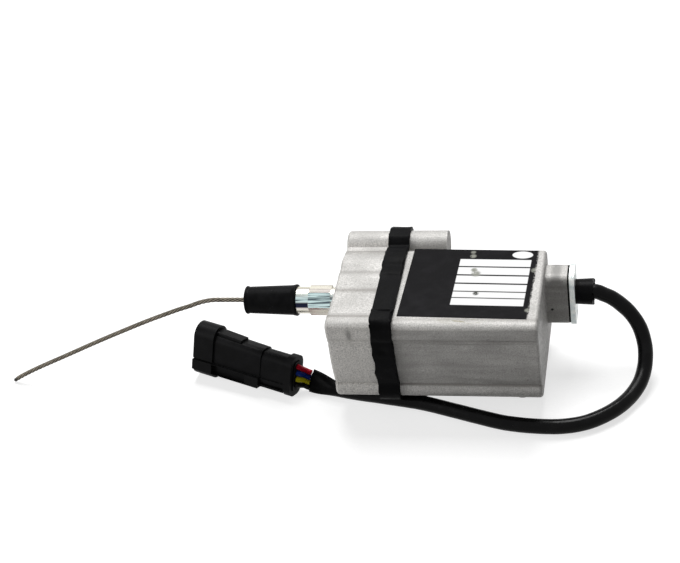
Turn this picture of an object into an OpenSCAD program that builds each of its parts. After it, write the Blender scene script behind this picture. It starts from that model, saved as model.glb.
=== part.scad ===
// Motor driven stop actuator for an engine: a small motor turns a lead screw, and the screw
// draws a wire rope in through the fitting on the left end of a two piece cast case.
// Case coordinates: x from the left end face, y back from the front face, z up from the
// underside. The whole model stands on four cast pads, and its origin is the centre of
// their bolt pattern, on the pads' lower faces.

/* [Case] */
// Length of the gear cover, from the left end face to the joint
cover_len = 25; // [24.5:0.5:26]
// Length of the motor case, from the joint to the right end face
case_len = 69; // [68:0.5:72]
// Depth of the motor case, front to back
case_depth = 56.5; // [55:0.5:60]
// Height of the motor case
case_h = 44.6; // [44:0.2:47]
// Wall thickness of both castings
wall = 2.8; // [2.2:0.1:3]
// Radius of the rounded back edges of the motor case
edge_r = 4; // [2.5:0.5:5]
// Radius of the column along the front top edge
ridge_r = 5.8; // [5.6:0.1:6.4]
// Radius of the column along the front bottom edge
lip_r = 5.4; // [5.2:0.1:6]
// How far the two front columns stand out of the flat front face
column_proud = 1.9; // [0.5:0.1:2.3]
// How far the front swells out at its middle
front_out = 2.2; // [1.4:0.1:2.6]
// How much higher the gear cover is than the motor case, at its ridge
cover_rise = 1; // [0.4:0.2:2]
// Thickness of the flange that carries the gear cover
flange_t = 4.5; // [3.5:0.5:6]
// Radius of the two lobes behind the flange
lobe_r = 7.2; // [6.6:0.2:8]
// How far the lobes stand behind the motor case, to their centres
lobe_out = 7.8; // [7:0.2:9]
// Length of the lobes behind the joint
lobe_len = 21; // [14:1:28]

/* [Pads] */
// Height of the mounting pads
pad_h = 9.5; // [9.5:0.5:14]
// Radius of a mounting pad
pad_r = 6.2; // [5:0.2:7]
// Spacing of the mounting holes along the case
pad_span_x = 46; // [42:1:48]
// Spacing of the mounting holes across the case
pad_span_y = 32; // [28:1:34]
// Radius of the mounting holes, tapped M6
pad_hole_r = 2.5; // [2:0.1:3]
// Depth of the mounting holes
pad_hole_depth = 10.5; // [8:0.5:11]

/* [Joint band] */
// Width of the rubber band over the joint
band_w = 10; // [8:0.5:12]
// Thickness of the band
band_t = 2.1; // [1.2:0.1:2.2]

/* [Outlet] */
// Distance of the rope axis behind the front face
rope_y = 28; // [26:0.5:29]
// Height of the rope axis above the underside
rope_z = 35.3; // [35:0.1:37]
// Size of the fitting's hexagon across its flats
hex_af = 12.4; // [12:0.2:14]
// Turn of the hexagon round the rope, in degrees
hex_turn = 22; // [0:1:60]
// Length of the hexagon
hex_len = 10.5; // [8:0.5:12]
// Radius of the fitting's barrel
barrel_r = 6.4; // [6:0.1:6.4]
// Bare length of the barrel, between hexagon and boot
barrel_bare = 6.1; // [4:0.5:9]
// Radius of the fitting's thread
neck_r = 5; // [4.5:0.1:5.4]
// Bore of the fitting for the rope
fitting_bore_r = 1.5; // [1.4:0.1:1.8]
// Thickness of the lock washer
washer_t = 1.6; // [1.2:0.1:2]
// Length of the collar between washer and hexagon
collar_len = 1.7; // [1:0.1:2.5]

/* [Boot] */
// Length of the rubber boot
boot_len = 25.3; // [22:0.5:30]
// Outer radius of the boot's closed end
boot_tip_r = 6.4; // [6.2:0.1:7]
// Outer radius of the boot's open end
boot_mouth_r = 7.5; // [7.2:0.1:8]
// Length of the solid end of the boot, round the rope
boot_end_t = 4.5; // [3:0.5:6]

/* [Rope] */
// Diameter of the wire rope
rope_d = 1.8; // [1.6:0.1:2.2]
// Travel of the rope from let out to pulled in
stroke = 15; // [10:1:15]

/* [Cable entry] */
// Length of the cast box on the right end
entry_len = 11.5; // [9:0.5:14]
// Depth of that box, front to back
entry_w = 13.5; // [12.5:0.5:14]
// Height of that box
entry_h = 28; // [27:0.5:30]
// Radius of its long edges
entry_edge_r = 4; // [3:0.5:5]
// Distance of its centre behind the front face
entry_y = 43.5; // [42:0.5:45]
// Height of its centre above the underside
entry_z = 27; // [26:0.2:28]
// Thickness of the gasket
gasket_t = 0.8; // [0.5:0.1:1.5]
// Thickness of the zinc plated plate
plate_t = 2.5; // [2:0.1:3]
// How far the plate stands past the box all round
plate_over = 0.5; // [0:0.1:1]
// Height of the cable above the centre of the plate
cable_up = 1.5; // [0:0.1:2]
// Outer radius of the rubber sleeve
sleeve_r = 5.7; // [5.4:0.1:6]
// Length of the sleeve outside the plate
sleeve_len = 8.2; // [6:0.2:12]
// Diameter of the cable
cable_d = 7; // [6:0.2:7]
// Distance of the plate's two screws from its centre
plate_screw_off = 10.6; // [10.2:0.1:11]

/* [Label] */
// Length of the label plate
label_len = 58.5; // [40:0.5:60]
// Width of the label plate
label_w = 48; // [30:0.5:49]
// Thickness of the label plate
label_t = 0.3; // [0.2:0.1:0.5]
// Turn of the label plate from square, in degrees
label_turn = -1.4; // [-2:0.1:2]

/* [Motor] */
// Radius of the motor can
can_r = 13.8; // [12.6:0.1:13.8]
// Length of the motor can with its end cap
can_len = 38; // [36:0.5:42]
// Wall of the motor can
can_wall = 1.2; // [0.8:0.1:1.6]
// Height of the motor axis above the underside
motor_z = 18; // [17.6:0.1:18.4]
// Radius of the motor shaft
shaft_r = 1.5; // [1.2:0.1:1.6]
// Radius of the armature
core_r = 9.4; // [8:0.1:9.5]
// Length of the armature's iron core
core_len = 18; // [14:1:20]
// Radial thickness of the magnets
magnet_t = 2.3; // [1.6:0.1:2.4]

/* [Gears] */
// Module of the gear teeth
gear_m = 0.8; // [0.78:0.01:0.82]
// Teeth of the motor pinion
pinion_teeth = 12; // [12:1:13]
// Teeth of the large wheel on the idler
wheel_teeth = 32; // [31:1:33]
// Teeth of the small wheel on the idler
small_teeth = 12; // [12:1:13]
// Teeth of the wheel on the lead screw
screw_teeth = 24; // [23:1:25]
// Face width of the first pair of wheels
first_face = 5; // [4:0.5:6]
// Face width of the second pair of wheels
second_face = 7; // [5:0.5:8]
// Gap between the teeth, along the pitch circle
backlash = 0.24; // [0.15:0.01:0.35]
// Radius of the idler's axle
axle_r = 1.5; // [1.2:0.1:2]

/* [Lead screw] */
// Height of the screw axis above the underside
screw_z = 31.7; // [31.2:0.1:32]
// Radius of the screw
screw_r = 3; // [2.8:0.1:3.2]
// Radius of the screw's two journals
journal_r = 2.4; // [2:0.1:2.6]
// Radial clearance of every running fit
run_gap = 0.06; // [0.04:0.01:0.1]
// Length of the travelling nut
nut_len = 12; // [10:0.5:14]
// Radius of the travelling nut
nut_r = 5.6; // [5:0.1:6]
// Thickness of the nut's arm, along the screw
arm_t = 6; // [5:0.5:7]
// Radius of the guide rod
guide_r = 1.5; // [1.2:0.1:1.7]
// Thickness of the steel plate behind the gears
motor_plate_t = 3; // [2.5:0.1:3.5]
// Length of the bush at the far end of the screw
rear_bush_len = 4; // [3:0.5:5]

/* [Fasteners] */
// Radius of the cover screws
cover_screw_r = 2; // [1.8:0.1:2.1]
// Head radius of the cover screws
cover_head_r = 3.5; // [3.2:0.1:3.6]
// Head height of the cover screws
cover_head_h = 4; // [3:0.5:5]
// How far the cover screws reach past the joint
cover_screw_in = 11; // [8:1:14]
// Radius of the small screws at the motor and the cable plate
small_screw_r = 1.5; // [1.2:0.1:1.6]
// Head radius of the small screws
small_head_r = 2.7; // [2.4:0.1:2.8]
// Head height of the small screws
small_head_h = 1.7; // [1.4:0.1:2]

/* [Plug] */
// Length of the plug's mouth collar
plug_collar_len = 11; // [10:0.2:15]
// Depth of the collar across the plug
plug_collar_w = 13; // [12.6:0.2:15]
// Height of the collar
plug_collar_h = 26; // [25.6:0.2:28]
// Length of the plug housing, collar included
plug_body_len = 37.4; // [36:0.2:40]
// How much the body is smaller than the collar
plug_step = 6; // [5:0.2:6.4]
// How much flatter the body is than the collar
plug_flatter = 2; // [1.4:0.1:2.2]
// Length of the raised step behind the collar
plug_saddle_len = 14; // [10:0.2:18]
// Full length of the plug
plug_len = 54.5; // [54:0.5:58]
// Turn of the plug about its own length, in degrees
plug_roll = 20; // [0:1:24]
// Thickness of the flange at the plug's rear
plug_flange_t = 3.6; // [2.5:0.1:4.5]
// Depth of the mouth
plug_mouth_depth = 19; // [16:1:24]
// Diameter of one insulated wire
wire_d = 2.5; // [2.2:0.1:2.5]

/* [Hidden] */
$fn = 48;

// Whole case
total_len = cover_len + case_len;
mount_x = cover_len + 36;
mount_y = 32;
lobe_y = case_depth + lobe_out;
lobe_top_z = case_h - 4.6;
lobe_low_z = lobe_r;
ridge_z = case_h - ridge_r;
ridge_y = ridge_r - column_proud;
lip_y = lip_r - column_proud;
valley_z = lobe_top_z + 3.7;
front_r = 67;
front_z = 24.5;
front_reach = 17;
screw_spots = [
    [ridge_y, ridge_z], [lip_y, lip_r], [lobe_y, lobe_top_z], [lobe_y, lobe_low_z]
];
// Clearance round seated pieces that do not move
seat_gap = 0.1;
// Reach of the upper bumps of the gear cover round the screw gear
bump_r = 14;
shoulder_r = 9;
// The motor and the screw spread with the depth of the case
motor_y = case_depth * 0.35 + 0.2;
screw_y = case_depth * 0.7 + 6.4;
shoulder_y = screw_y - 10.5;
shoulder_z = rope_z + 0.7;

// Gear train: two meshes, and the idler's axis where both centre distances meet
first_dist = gear_m * (pinion_teeth + wheel_teeth) / 2;
second_dist = gear_m * (small_teeth + screw_teeth) / 2;
base_dist = norm([screw_y - motor_y, screw_z - motor_z]);
base_angle = atan2(screw_z - motor_z, screw_y - motor_y);
swing = acos((pow(first_dist, 2) + pow(base_dist, 2) - pow(second_dist, 2))
             / (2 * first_dist * base_dist));
first_angle = base_angle - swing;
idler_y = motor_y + first_dist * cos(first_angle);
idler_z = motor_z + first_dist * sin(first_angle);
second_angle = atan2(screw_z - idler_z, screw_y - idler_y);
wheel_x = 8.4;
gear_gap = 0.5;
second_x = cover_len - second_face - 1.6;
hub_r = 6;

// Motor and lead screw along the case
can_x = cover_len + motor_plate_t;
cap_t = 2.6;
core_x = can_x + 8;
pole_shoe_r = core_r - 2;
hub_core_r = 4;
stem_w = 3.2;
coil_t = 2.3;
shoe_angle = 51;
pilot_r = 5;
pilot_h = 2;
screw_run_x = can_x + 0.5;
post_x = 62 + (cover_len - 26);
post_w = 13;
nut_x = can_x + 2.2;
guide_y = (screw_y + rope_y) / 2;
guide_z = (screw_z + rope_z) / 2 + 0.6;
entry_cable_z = entry_z + cable_up;
ferrule_len = 8;
ferrule_r = 2.3;
arm_bore_r = rope_d / 2 + 0.1;
outlet_boss_r = 8;
outlet_boss_x = 7.6;

// Outlet along the case, to the left of the end face
hex_x = -washer_t - collar_len - hex_len;
boot_x = hex_x - barrel_bare - boot_len;
barrel_end_x = boot_x + boot_end_t + 1.5;

// Cable entry along the case
gasket_x = total_len + entry_len;
entry_plate_x = gasket_x + gasket_t;
sleeve_end_x = entry_plate_x + plate_t + sleeve_len;
entry_hole_w = cable_d + 0.6;
entry_hole_h = 12;
cable_start_x = gasket_x - 6;

// Plug: it lies on its collar and on its rear flange, turned on the table
plug_round = 6.3;
plug_body_w = plug_collar_w - plug_flatter;
plug_body_h = plug_collar_h - plug_step;
plug_body_r = 4.2;
plug_cap_w = plug_body_w - 0.8;
plug_cap_h = plug_body_h - 1.6;
plug_cap_r = 4;
plug_flange_over = 1;
// How far a round block of the plug reaches below the plug's own line
function plug_drop(w, h, r) =
    (h / 2 - r) * cos(plug_roll) + (w / 2 - r) * sin(plug_roll) + r;
collar_drop = plug_drop(plug_collar_w, plug_collar_h, plug_round);
flange_drop = plug_drop(plug_cap_w + 2 * plug_flange_over, plug_cap_h + 2 * plug_flange_over,
                        plug_cap_r + plug_flange_over);
plug_tilt = atan((collar_drop - flange_drop) / (plug_len - plug_collar_len));
plug_turn = -18.4;
plug_pos = [-136.1, -1.7, collar_drop * cos(plug_tilt) + plug_collar_len * sin(plug_tilt)];
plug_wall = 1.8;
body_wall = 1.6;
cap_wall = 1.5;
cap_web = 3;
rail_h = 5.2;
rail_low = 6.5;
rail_out = 0.6;
groove_h = 0.7;
groove_t = 0.8;
seal_inset = 1;
seal_x = plug_len - seal_inset;
seal_hole_depth = 6;
seal_gap = 0.15;
wire_pitch = 3.4;
cord_lean = 30;
pin_pitch = 4.2;
pin_r = 1.05;
pin_out = 12;

// Routes of the cords, in the model's own frame
rope_route = [
    [cover_len + 19 - mount_x, rope_y - mount_y, rope_z + pad_h],
    [-123, rope_y - mount_y, rope_z + pad_h],
    [-127.8, -4, 43.6], [-131.4, -4.2, 42.6], [-134.8, -4.5, 41.5], [-141.3, -5.2, 39.6],
    [-147.7, -6, 37.5], [-156.5, -7.1, 34.5], [-165.3, -8.2, 31.2], [-183.3, -10.4, 24.1],
    [-202, -12.4, 16.1], [-221, -14, 7.7], [-229.6, -14.5, 3.2], [-233, -14.6, rope_d / 2 + 0.05]
];
cable_route = [
    [cable_start_x - mount_x, entry_y - mount_y, entry_cable_z + pad_h],
    [sleeve_end_x + 0.8 - mount_x, entry_y - mount_y, entry_cable_z + pad_h],
    [60, 11.5, 36.6], [64, 11.4, 34.4], [68.2, 10.9, 30.9], [72.6, 9.6, 26.3],
    [76, 7, 21], [78, 3.4, 15.8], [78.7, -1.2, 11.8], [78.3, -6.8, 8.2],
    [76.6, -13.6, 5.4], [73, -20.6, cable_d / 2 + 0.2], [67.3, -28.6, cable_d / 2],
    [61, -34.4, cable_d / 2], [53.4, -38.9, cable_d / 2], [44, -41.5, cable_d / 2],
    [33, -42, cable_d / 2], [18, -40.4, cable_d / 2], [4, -36.6, cable_d / 2],
    [-9, -32.6, cable_d / 2], [-22.5, -28.7, cable_d / 2], [-40, -25.6, cable_d / 2],
    [-56.5, -22.6, cable_d / 2], [-65, -20.8, 3.9], [-72, -18.6, 4.7], [-78.2, -16.4, 5.3]
];
// A point of the plug in the model's frame: u from its mouth, v across, w up
function plug_point(u, v, w) = let (
    y = v * cos(plug_roll) + w * sin(plug_roll),
    z = w * cos(plug_roll) - v * sin(plug_roll),
    f = u * cos(plug_tilt) + z * sin(plug_tilt)
) plug_pos + [
    f * cos(plug_turn) - y * sin(plug_turn), f * sin(plug_turn) + y * cos(plug_turn),
    z * cos(plug_tilt) - u * sin(plug_tilt)
];
// A wire's route, from the plug's seal to the flattened end of the sheath. The four wires
// lie side by side in a ribbon that leans back by cord_lean.
function wire_route(k) = let (
    o = wire_pitch * k,
    side = [0.33 * sin(cord_lean), 0.944 * sin(cord_lean), cos(cord_lean)],
    mouth = cable_route[len(cable_route) - 1] + side * wire_d * k
) [
    plug_point(seal_x - seal_hole_depth + 0.5, 0, o), plug_point(seal_x + 0.8, 0, o),
    plug_point(seal_x + 1.6, 0.1 * k, o * 0.95), mouth + [-3, 0.8, 0.7],
    mouth + [-1.7, 0.5, 0.2], mouth + [-0.5, 0.16, 0.05]
];

// A tube swept along a list of points, one ring of flat sides at each point
function unit(v) = v / norm(v);
// The last rings may be pressed flat: widths says how much wider each of them is.
function ring_width(widths, i, n) = i < n - len(widths) ? 1 : widths[i - n + len(widths)];
function tube_point(p, i, r, sides, j, wide) = let (
    last = len(p) - 1,
    ahead = unit(p[min(i + 1, last)] - p[max(i - 1, 0)]),
    across = unit(cross(ahead, [0, 0, 1])),
    over = cross(across, ahead),
    a = 360 * (j + 0.5) / sides
) p[i] + r * (
    wide * cos(a) * (over * cos(cord_lean) + across * sin(cord_lean))
    + (2 - wide) * sin(a) * (across * cos(cord_lean) - over * sin(cord_lean))
);
module tube(p, d, sides, widths = []) {
    n = len(p);
    polyhedron(
        points = [
            for (i = [0:n - 1], j = [0:sides - 1])
                tube_point(p, i, d / 2, sides, j, ring_width(widths, i, n))
        ],
        faces = concat(
            [[for (j = [0:sides - 1]) j]],
            [for (i = [0:n - 2], j = [0:sides - 1]) let (k = (j + 1) % sides)
                [i * sides + j, (i + 1) * sides + j, (i + 1) * sides + k, i * sides + k]],
            [[for (j = [sides - 1:-1:0]) (n - 1) * sides + j]]
        )
    );
}

// Case frame, and shapes drawn in the y-z plane and pushed along the case
module in_case() {
    translate([-mount_x, -mount_y, pad_h]) children();
}
module along(x0, x1) {
    translate([x0, 0, 0]) rotate([90, 0, 90]) linear_extrude(x1 - x0) children();
}
module rod(y, z, r, x0, x1) {
    translate([x0, y, z]) rotate([0, 90, 0]) cylinder(r = r, h = x1 - x0);
}
module block(y0, z0, y1, z1) {
    translate([y0, z0]) square([y1 - y0, z1 - z0]);
}
module round_block(w, h, r) {
    square([w, h - 2 * r], center = true);
    square([w - 2 * r, h], center = true);
    for (y = [-1, 1], z = [-1, 1]) translate([y * (w / 2 - r), z * (h / 2 - r)]) circle(r);
}

// Outline of the motor case, grown by g, and of the lobes that the flange adds
module case_outline(g = 0) {
    translate([ridge_y, ridge_z]) circle(ridge_r + g);
    translate([lip_y, lip_r]) circle(lip_r + g);
    for (z = [edge_r, case_h - edge_r]) translate([case_depth - edge_r, z]) circle(edge_r + g);
    block(-g, lip_r, case_depth - edge_r, ridge_z);
    intersection() {
        translate([front_r - front_out, front_z]) circle(front_r + g, $fn = 360);
        block(-front_out - g - 1, front_z - front_reach, lip_y, ridge_z);
    }
    block(ridge_y, edge_r, case_depth + g, case_h - edge_r);
    block(lip_y, -g, case_depth - edge_r, edge_r);
    block(ridge_y, ridge_z, case_depth - edge_r, case_h + g);
}
// Outline of the gear cover: front columns, a low flat, two bumps and the two back lobes
module cover_outline(g = 0) {
    case_outline(g);
    translate([ridge_y, ridge_z + cover_rise]) circle(ridge_r + g);
    block(-column_proud - g, ridge_z, ridge_y, ridge_z + cover_rise);
    block(ridge_y, case_h / 2, shoulder_y, case_h + g);
    translate([shoulder_y, shoulder_z]) circle(shoulder_r + g);
    translate([screw_y, screw_z]) circle(bump_r + g);
    for (z = [lobe_low_z, lobe_top_z]) translate([lobe_y, z]) circle(lobe_r + g);
    block(case_depth - edge_r, -g, lobe_y, lobe_low_z);
    block(case_depth - edge_r, lobe_low_z, lobe_y + g, lobe_top_z);
    block(screw_y, lobe_top_z - lobe_r - g, lobe_y, valley_z + g);
}
// Room round each of the four cover screws that stays solid
module screw_columns(r) {
    for (s = screw_spots) translate(s) circle(r);
}

module motor_case() {
    color("silver") in_case() difference() {
        union() {
            along(cover_len, total_len) case_outline();
            along(cover_len, cover_len + flange_t) cover_outline();
            along(cover_len, cover_len + lobe_len) {
                for (z = [lobe_low_z, lobe_top_z]) translate([lobe_y, z]) circle(lobe_r);
                block(case_depth - edge_r, lobe_top_z - lobe_r + 2, lobe_y, lobe_top_z);
                block(case_depth - edge_r, lobe_low_z - 2, lobe_y, lobe_low_z + 3);
            }
            along(total_len, gasket_x)
                translate([entry_y, entry_z]) round_block(entry_w, entry_h, entry_edge_r);
            for (x = [-1, 1], y = [-1, 1])
                translate([mount_x + x * pad_span_x / 2, mount_y + y * pad_span_y / 2, -pad_h])
                    cylinder(r = pad_r, h = pad_h + wall / 2);
        }
        // the room for the motor, left open at the joint, with the screw's post kept solid
        difference() {
            along(can_x, total_len - wall) difference() {
                case_outline(-wall);
                screw_columns(cover_screw_r + 2);
            }
            along(post_x, total_len - wall + 1)
                block(screw_y - post_w / 2, screw_z - 5.6, case_depth, case_h);
        }
        // the seat of the motor plate
        along(cover_len - 1, can_x) difference() {
            case_outline(-wall / 2);
            screw_columns(cover_screw_r + 2);
        }
        // the back of the flange is open to the gears between its two lobes
        along(cover_len - 1, cover_len + flange_t - 2)
            block(case_depth - wall, lobe_low_z + lobe_r, lobe_y - wall, lobe_top_z - lobe_r);
        // rear bush and guide rod in the post
        rod(screw_y, screw_z, journal_r + 1.6, post_x - 1, post_x + rear_bush_len);
        rod(guide_y, guide_z, guide_r + 0.02, post_x - 1, post_x + rear_bush_len);
        // the way out for the cable
        along(total_len - wall - 7, gasket_x + 1)
            translate([entry_y, entry_cable_z]) round_block(entry_hole_w, entry_hole_h, 3);
        for (z = [-1, 1])
            rod(entry_y, entry_z + z * plate_screw_off, small_screw_r + 0.02, gasket_x - 7, gasket_x + 1);
        for (s = screw_spots)
            rod(s[0], s[1], cover_screw_r + 0.02, cover_len - 1, cover_len + cover_screw_in + 1);
        for (x = [-1, 1], y = [-1, 1])
            translate([mount_x + x * pad_span_x / 2, mount_y + y * pad_span_y / 2, -pad_h - 1])
                cylinder(r = pad_hole_r, h = pad_hole_depth + 1);
    }
}

module gear_cover() {
    color("gainsboro") in_case() difference() {
        along(0, cover_len) cover_outline();
        // room for the gears, with the outlet's thread boss and the axle's boss kept
        difference() {
            along(wall, cover_len + 1) difference() {
                cover_outline(-wall);
                screw_columns(lobe_r - wall + 0.3);
            }
            rod(rope_y, rope_z, outlet_boss_r, 0, outlet_boss_x);
            rod(idler_y, idler_z, axle_r + 3, 0, wheel_x - gear_gap);
        }
        rod(rope_y, rope_z, neck_r, -1, outlet_boss_x + 1);
        rod(idler_y, idler_z, axle_r, 1.4, wheel_x);
        for (s = screw_spots) {
            rod(s[0], s[1], cover_screw_r + seat_gap, -1, cover_len + 1);
            rod(s[0], s[1], cover_head_r + seat_gap, -1, cover_head_h);
        }
    }
}

module joint_band() {
    color("#151515") in_case()
        along(cover_len - band_w / 2, cover_len + band_w / 2) difference() {
            cover_outline(band_t);
            cover_outline();
        }
}

module socket_screw(y, z, r, head_r, head_h, x0, x1) {
    difference() {
        union() {
            rod(y, z, head_r, x0, x0 + head_h);
            rod(y, z, r, x0 + head_h, x1);
        }
        translate([x0 - 1, y, z]) rotate([0, 90, 0])
            cylinder(r = head_r * 0.5, h = 1 + head_h * 0.5, $fn = 6);
    }
}

module cover_screws() {
    color("dimgray") in_case() for (s = screw_spots)
        socket_screw(s[0], s[1], cover_screw_r, cover_head_r, cover_head_h, 0, cover_len + cover_screw_in);
}

module rating_label() {
    color("#1c1c1c") in_case()
        translate([(cover_len + band_w / 2 + total_len) / 2 - 1, case_depth / 2, case_h])
            rotate([0, 0, label_turn]) translate([-label_len / 2, -label_w / 2, 0])
                cube([label_len, label_w, label_t]);
}

module motor_plate() {
    color("lightslategray") in_case() difference() {
        along(cover_len, can_x) difference() {
            case_outline(-wall / 2 - seat_gap);
            screw_columns(cover_screw_r + 2 + seat_gap);
        }
        rod(motor_y, motor_z, pilot_r + 0.05, cover_len - 1, can_x + 1);
        rod(screw_y, screw_z, journal_r + 1.6, cover_len - 1, can_x + 1);
        rod(idler_y, idler_z, axle_r, cover_len - 1, can_x + 1);
        rod(guide_y, guide_z, guide_r, cover_len - 1, can_x + 1);
        rod(rope_y, rope_z, rope_d / 2 + 0.6, cover_len - 1, can_x + 1);
        for (s = [-1, 1])
            rod(motor_y + s * can_r * 0.62, motor_z, small_screw_r + 0.05, cover_len - 1, can_x + 1);
    }
}

module motor_can() {
    color("silver") in_case() difference() {
        union() {
            rod(motor_y, motor_z, can_r, can_x, can_x + can_len - cap_t);
            rod(motor_y, motor_z, pilot_r, can_x - pilot_h, can_x);
        }
        rod(motor_y, motor_z, can_r - can_wall, can_x + can_wall + 0.4, can_x + can_len);
        rod(motor_y, motor_z, shaft_r + run_gap, can_x - pilot_h - 1, can_x + can_len);
        for (s = [-1, 1])
            rod(motor_y + s * can_r * 0.62, motor_z, small_screw_r, can_x - 1, can_x + can_wall + 1);
    }
}

module motor_end_cap() {
    cap_x = can_x + can_len - cap_t;
    color("#2a2a2c") in_case() difference() {
        union() {
            rod(motor_y, motor_z, can_r, cap_x, cap_x + cap_t);
            rod(motor_y, motor_z, can_r - can_wall - seat_gap, cap_x - 1.2, cap_x);
            for (s = [-1, 1]) translate([cap_x + cap_t, motor_y + s * 8 - 1.5, motor_z - 0.4])
                cube([5, 3, 0.8]);
        }
        rod(motor_y, motor_z, 5, cap_x - 2, cap_x + 0.4);
        rod(motor_y, motor_z, shaft_r + run_gap, cap_x - 2, cap_x + cap_t + 1);
    }
}

module motor_magnets() {
    outer = can_r - can_wall;
    color("#3b3d40") in_case() along(core_x - 2, core_x + core_len + 2) difference() {
        circle_at(motor_y, motor_z, outer);
        circle_at(motor_y, motor_z, outer - magnet_t);
        translate([motor_y, motor_z]) for (s = [-1, 1])
            translate([0, s * outer]) square([outer * 0.9, outer], center = true);
    }
}
module circle_at(y, z, r) {
    translate([y, z]) circle(r);
}

module motor_screws() {
    color("lightgray") in_case() for (s = [-1, 1])
        socket_screw(motor_y + s * can_r * 0.62, motor_z, small_screw_r, small_head_r, small_head_h,
                     cover_len - small_head_h, can_x + can_wall + 0.2);
}

// Three poles on a hub, with the shaft and the commutator
module armature() {
    color("lightsteelblue") in_case() {
        difference() {
            union() {
                along(core_x, core_x + core_len) translate([motor_y, motor_z]) pole_outline();
                rod(motor_y, motor_z, 3.6, core_x + core_len, core_x + core_len + 6);
            }
            rod(motor_y, motor_z, shaft_r, core_x - 1, core_x + core_len + 8);
        }
        rod(motor_y, motor_z, shaft_r, wheel_x - 1, can_x + can_len - 0.6);
    }
}
module pole_outline() {
    circle(hub_core_r);
    for (k = [0:2]) rotate(120 * k) intersection() {
        union() {
            translate([0, -stem_w / 2]) square([core_r, stem_w]);
            difference() {
                circle(core_r);
                circle(pole_shoe_r);
                translate([-core_r * 2, -core_r]) square([core_r * 2, core_r * 2]);
                rotate(shoe_angle) square([core_r * 2, core_r * 2]);
                rotate(-shoe_angle) translate([0, -core_r * 2]) square([core_r * 2, core_r * 2]);
            }
        }
        circle(core_r);
    }
}

// A coil of enamelled wire round the stem of each pole
module windings() {
    color("peru") in_case() for (k = [0:2]) difference() {
        along(core_x - coil_t * 0.7, core_x + core_len + coil_t * 0.7) on_pole(k)
            translate([hub_core_r + 0.1, -stem_w / 2 - coil_t])
                square([pole_shoe_r - hub_core_r - coil_t * 0.55, stem_w + 2 * coil_t]);
        along(core_x, core_x + core_len) on_pole(k)
            translate([0, -stem_w / 2]) square([core_r, stem_w]);
    }
}
module on_pole(k) {
    translate([motor_y, motor_z]) rotate(120 * k) children();
}

// One involute spur wheel outline, centred on its own axis, tooth 0 on the y axis
function involute(base, r) = let (t = sqrt(max(0, pow(r / base, 2) - 1)))
    t * 180 / PI - atan(t);
function tooth_half(n, r) = let (pitch = n * gear_m / 2, base = pitch * cos(20))
    90 / n - backlash * 90 / (PI * pitch) + involute(base, pitch) - involute(base, max(r, base));
module wheel_outline(n) {
    pitch = n * gear_m / 2;
    root = pitch - 1.2 * gear_m;
    foot = max(root + 0.05, pitch * cos(20));
    tip = pitch + 0.85 * gear_m;
    radii = [root, foot, (foot + pitch) / 2, pitch, (pitch + tip) / 2, tip];
    polygon([
        for (k = [0:n - 1]) each concat(
            [for (r = radii) let (a = 360 * k / n - tooth_half(n, r)) r * [cos(a), sin(a)]],
            [for (i = [5:-1:0]) let (r = radii[i], a = 360 * k / n + tooth_half(n, r))
                r * [cos(a), sin(a)]]
        )
    ]);
}

// Turns that put a tooth of each driving wheel into a gap of the next
pinion_turn = first_angle;
wheel_turn = first_angle + 180 + 180 / wheel_teeth;
small_turn = second_angle;
screw_turn = second_angle + 180 + 180 / screw_teeth;

module motor_pinion() {
    color("goldenrod") in_case() difference() {
        along(wheel_x, wheel_x + first_face)
            translate([motor_y, motor_z]) rotate(pinion_turn) wheel_outline(pinion_teeth);
        rod(motor_y, motor_z, shaft_r, wheel_x - 1, wheel_x + first_face + 1);
    }
}

module idler_gear() {
    color("ivory") in_case() difference() {
        union() {
            along(wheel_x, wheel_x + first_face)
                translate([idler_y, idler_z]) rotate(wheel_turn) wheel_outline(wheel_teeth);
            along(wheel_x + first_face, second_x + second_face)
                translate([idler_y, idler_z]) rotate(small_turn) wheel_outline(small_teeth);
        }
        rod(idler_y, idler_z, axle_r + run_gap, wheel_x - 1, second_x + second_face + 1);
        for (k = [0:5])
            rod(idler_y + 9 * cos(60 * k), idler_z + 9 * sin(60 * k), 1.9, wheel_x - 1, wheel_x + first_face + 1);
    }
}

module idler_axle() {
    color("lightgray") in_case() rod(idler_y, idler_z, axle_r, 1.4, can_x);
}

module lead_screw() {
    color("silver") in_case() {
        rod(screw_y, screw_z, journal_r, second_x - 1, post_x + rear_bush_len - 0.4);
        rod(screw_y, screw_z, screw_r, screw_run_x, post_x - 0.5);
    }
}

module screw_gear() {
    color("ivory") in_case() difference() {
        union() {
            along(second_x, second_x + second_face)
                translate([screw_y, screw_z]) rotate(screw_turn) wheel_outline(screw_teeth);
            rod(screw_y, screw_z, hub_r, second_x - 1, second_x + second_face);
        }
        rod(screw_y, screw_z, journal_r, second_x - 2, second_x + second_face + 1);
    }
}

module bush(x0, len, flange) {
    difference() {
        union() {
            rod(screw_y, screw_z, journal_r + 1.6, x0, x0 + len);
            if (flange > 0) rod(screw_y, screw_z, journal_r + 2.6, x0 - flange, x0);
        }
        rod(screw_y, screw_z, journal_r + run_gap, x0 - flange - 1, x0 + len + 1);
    }
}
module front_bush() {
    color("darkgoldenrod") in_case() bush(cover_len, motor_plate_t, 1);
}
module rear_bush() {
    color("darkgoldenrod") in_case() bush(post_x, rear_bush_len, 0);
}

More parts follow.
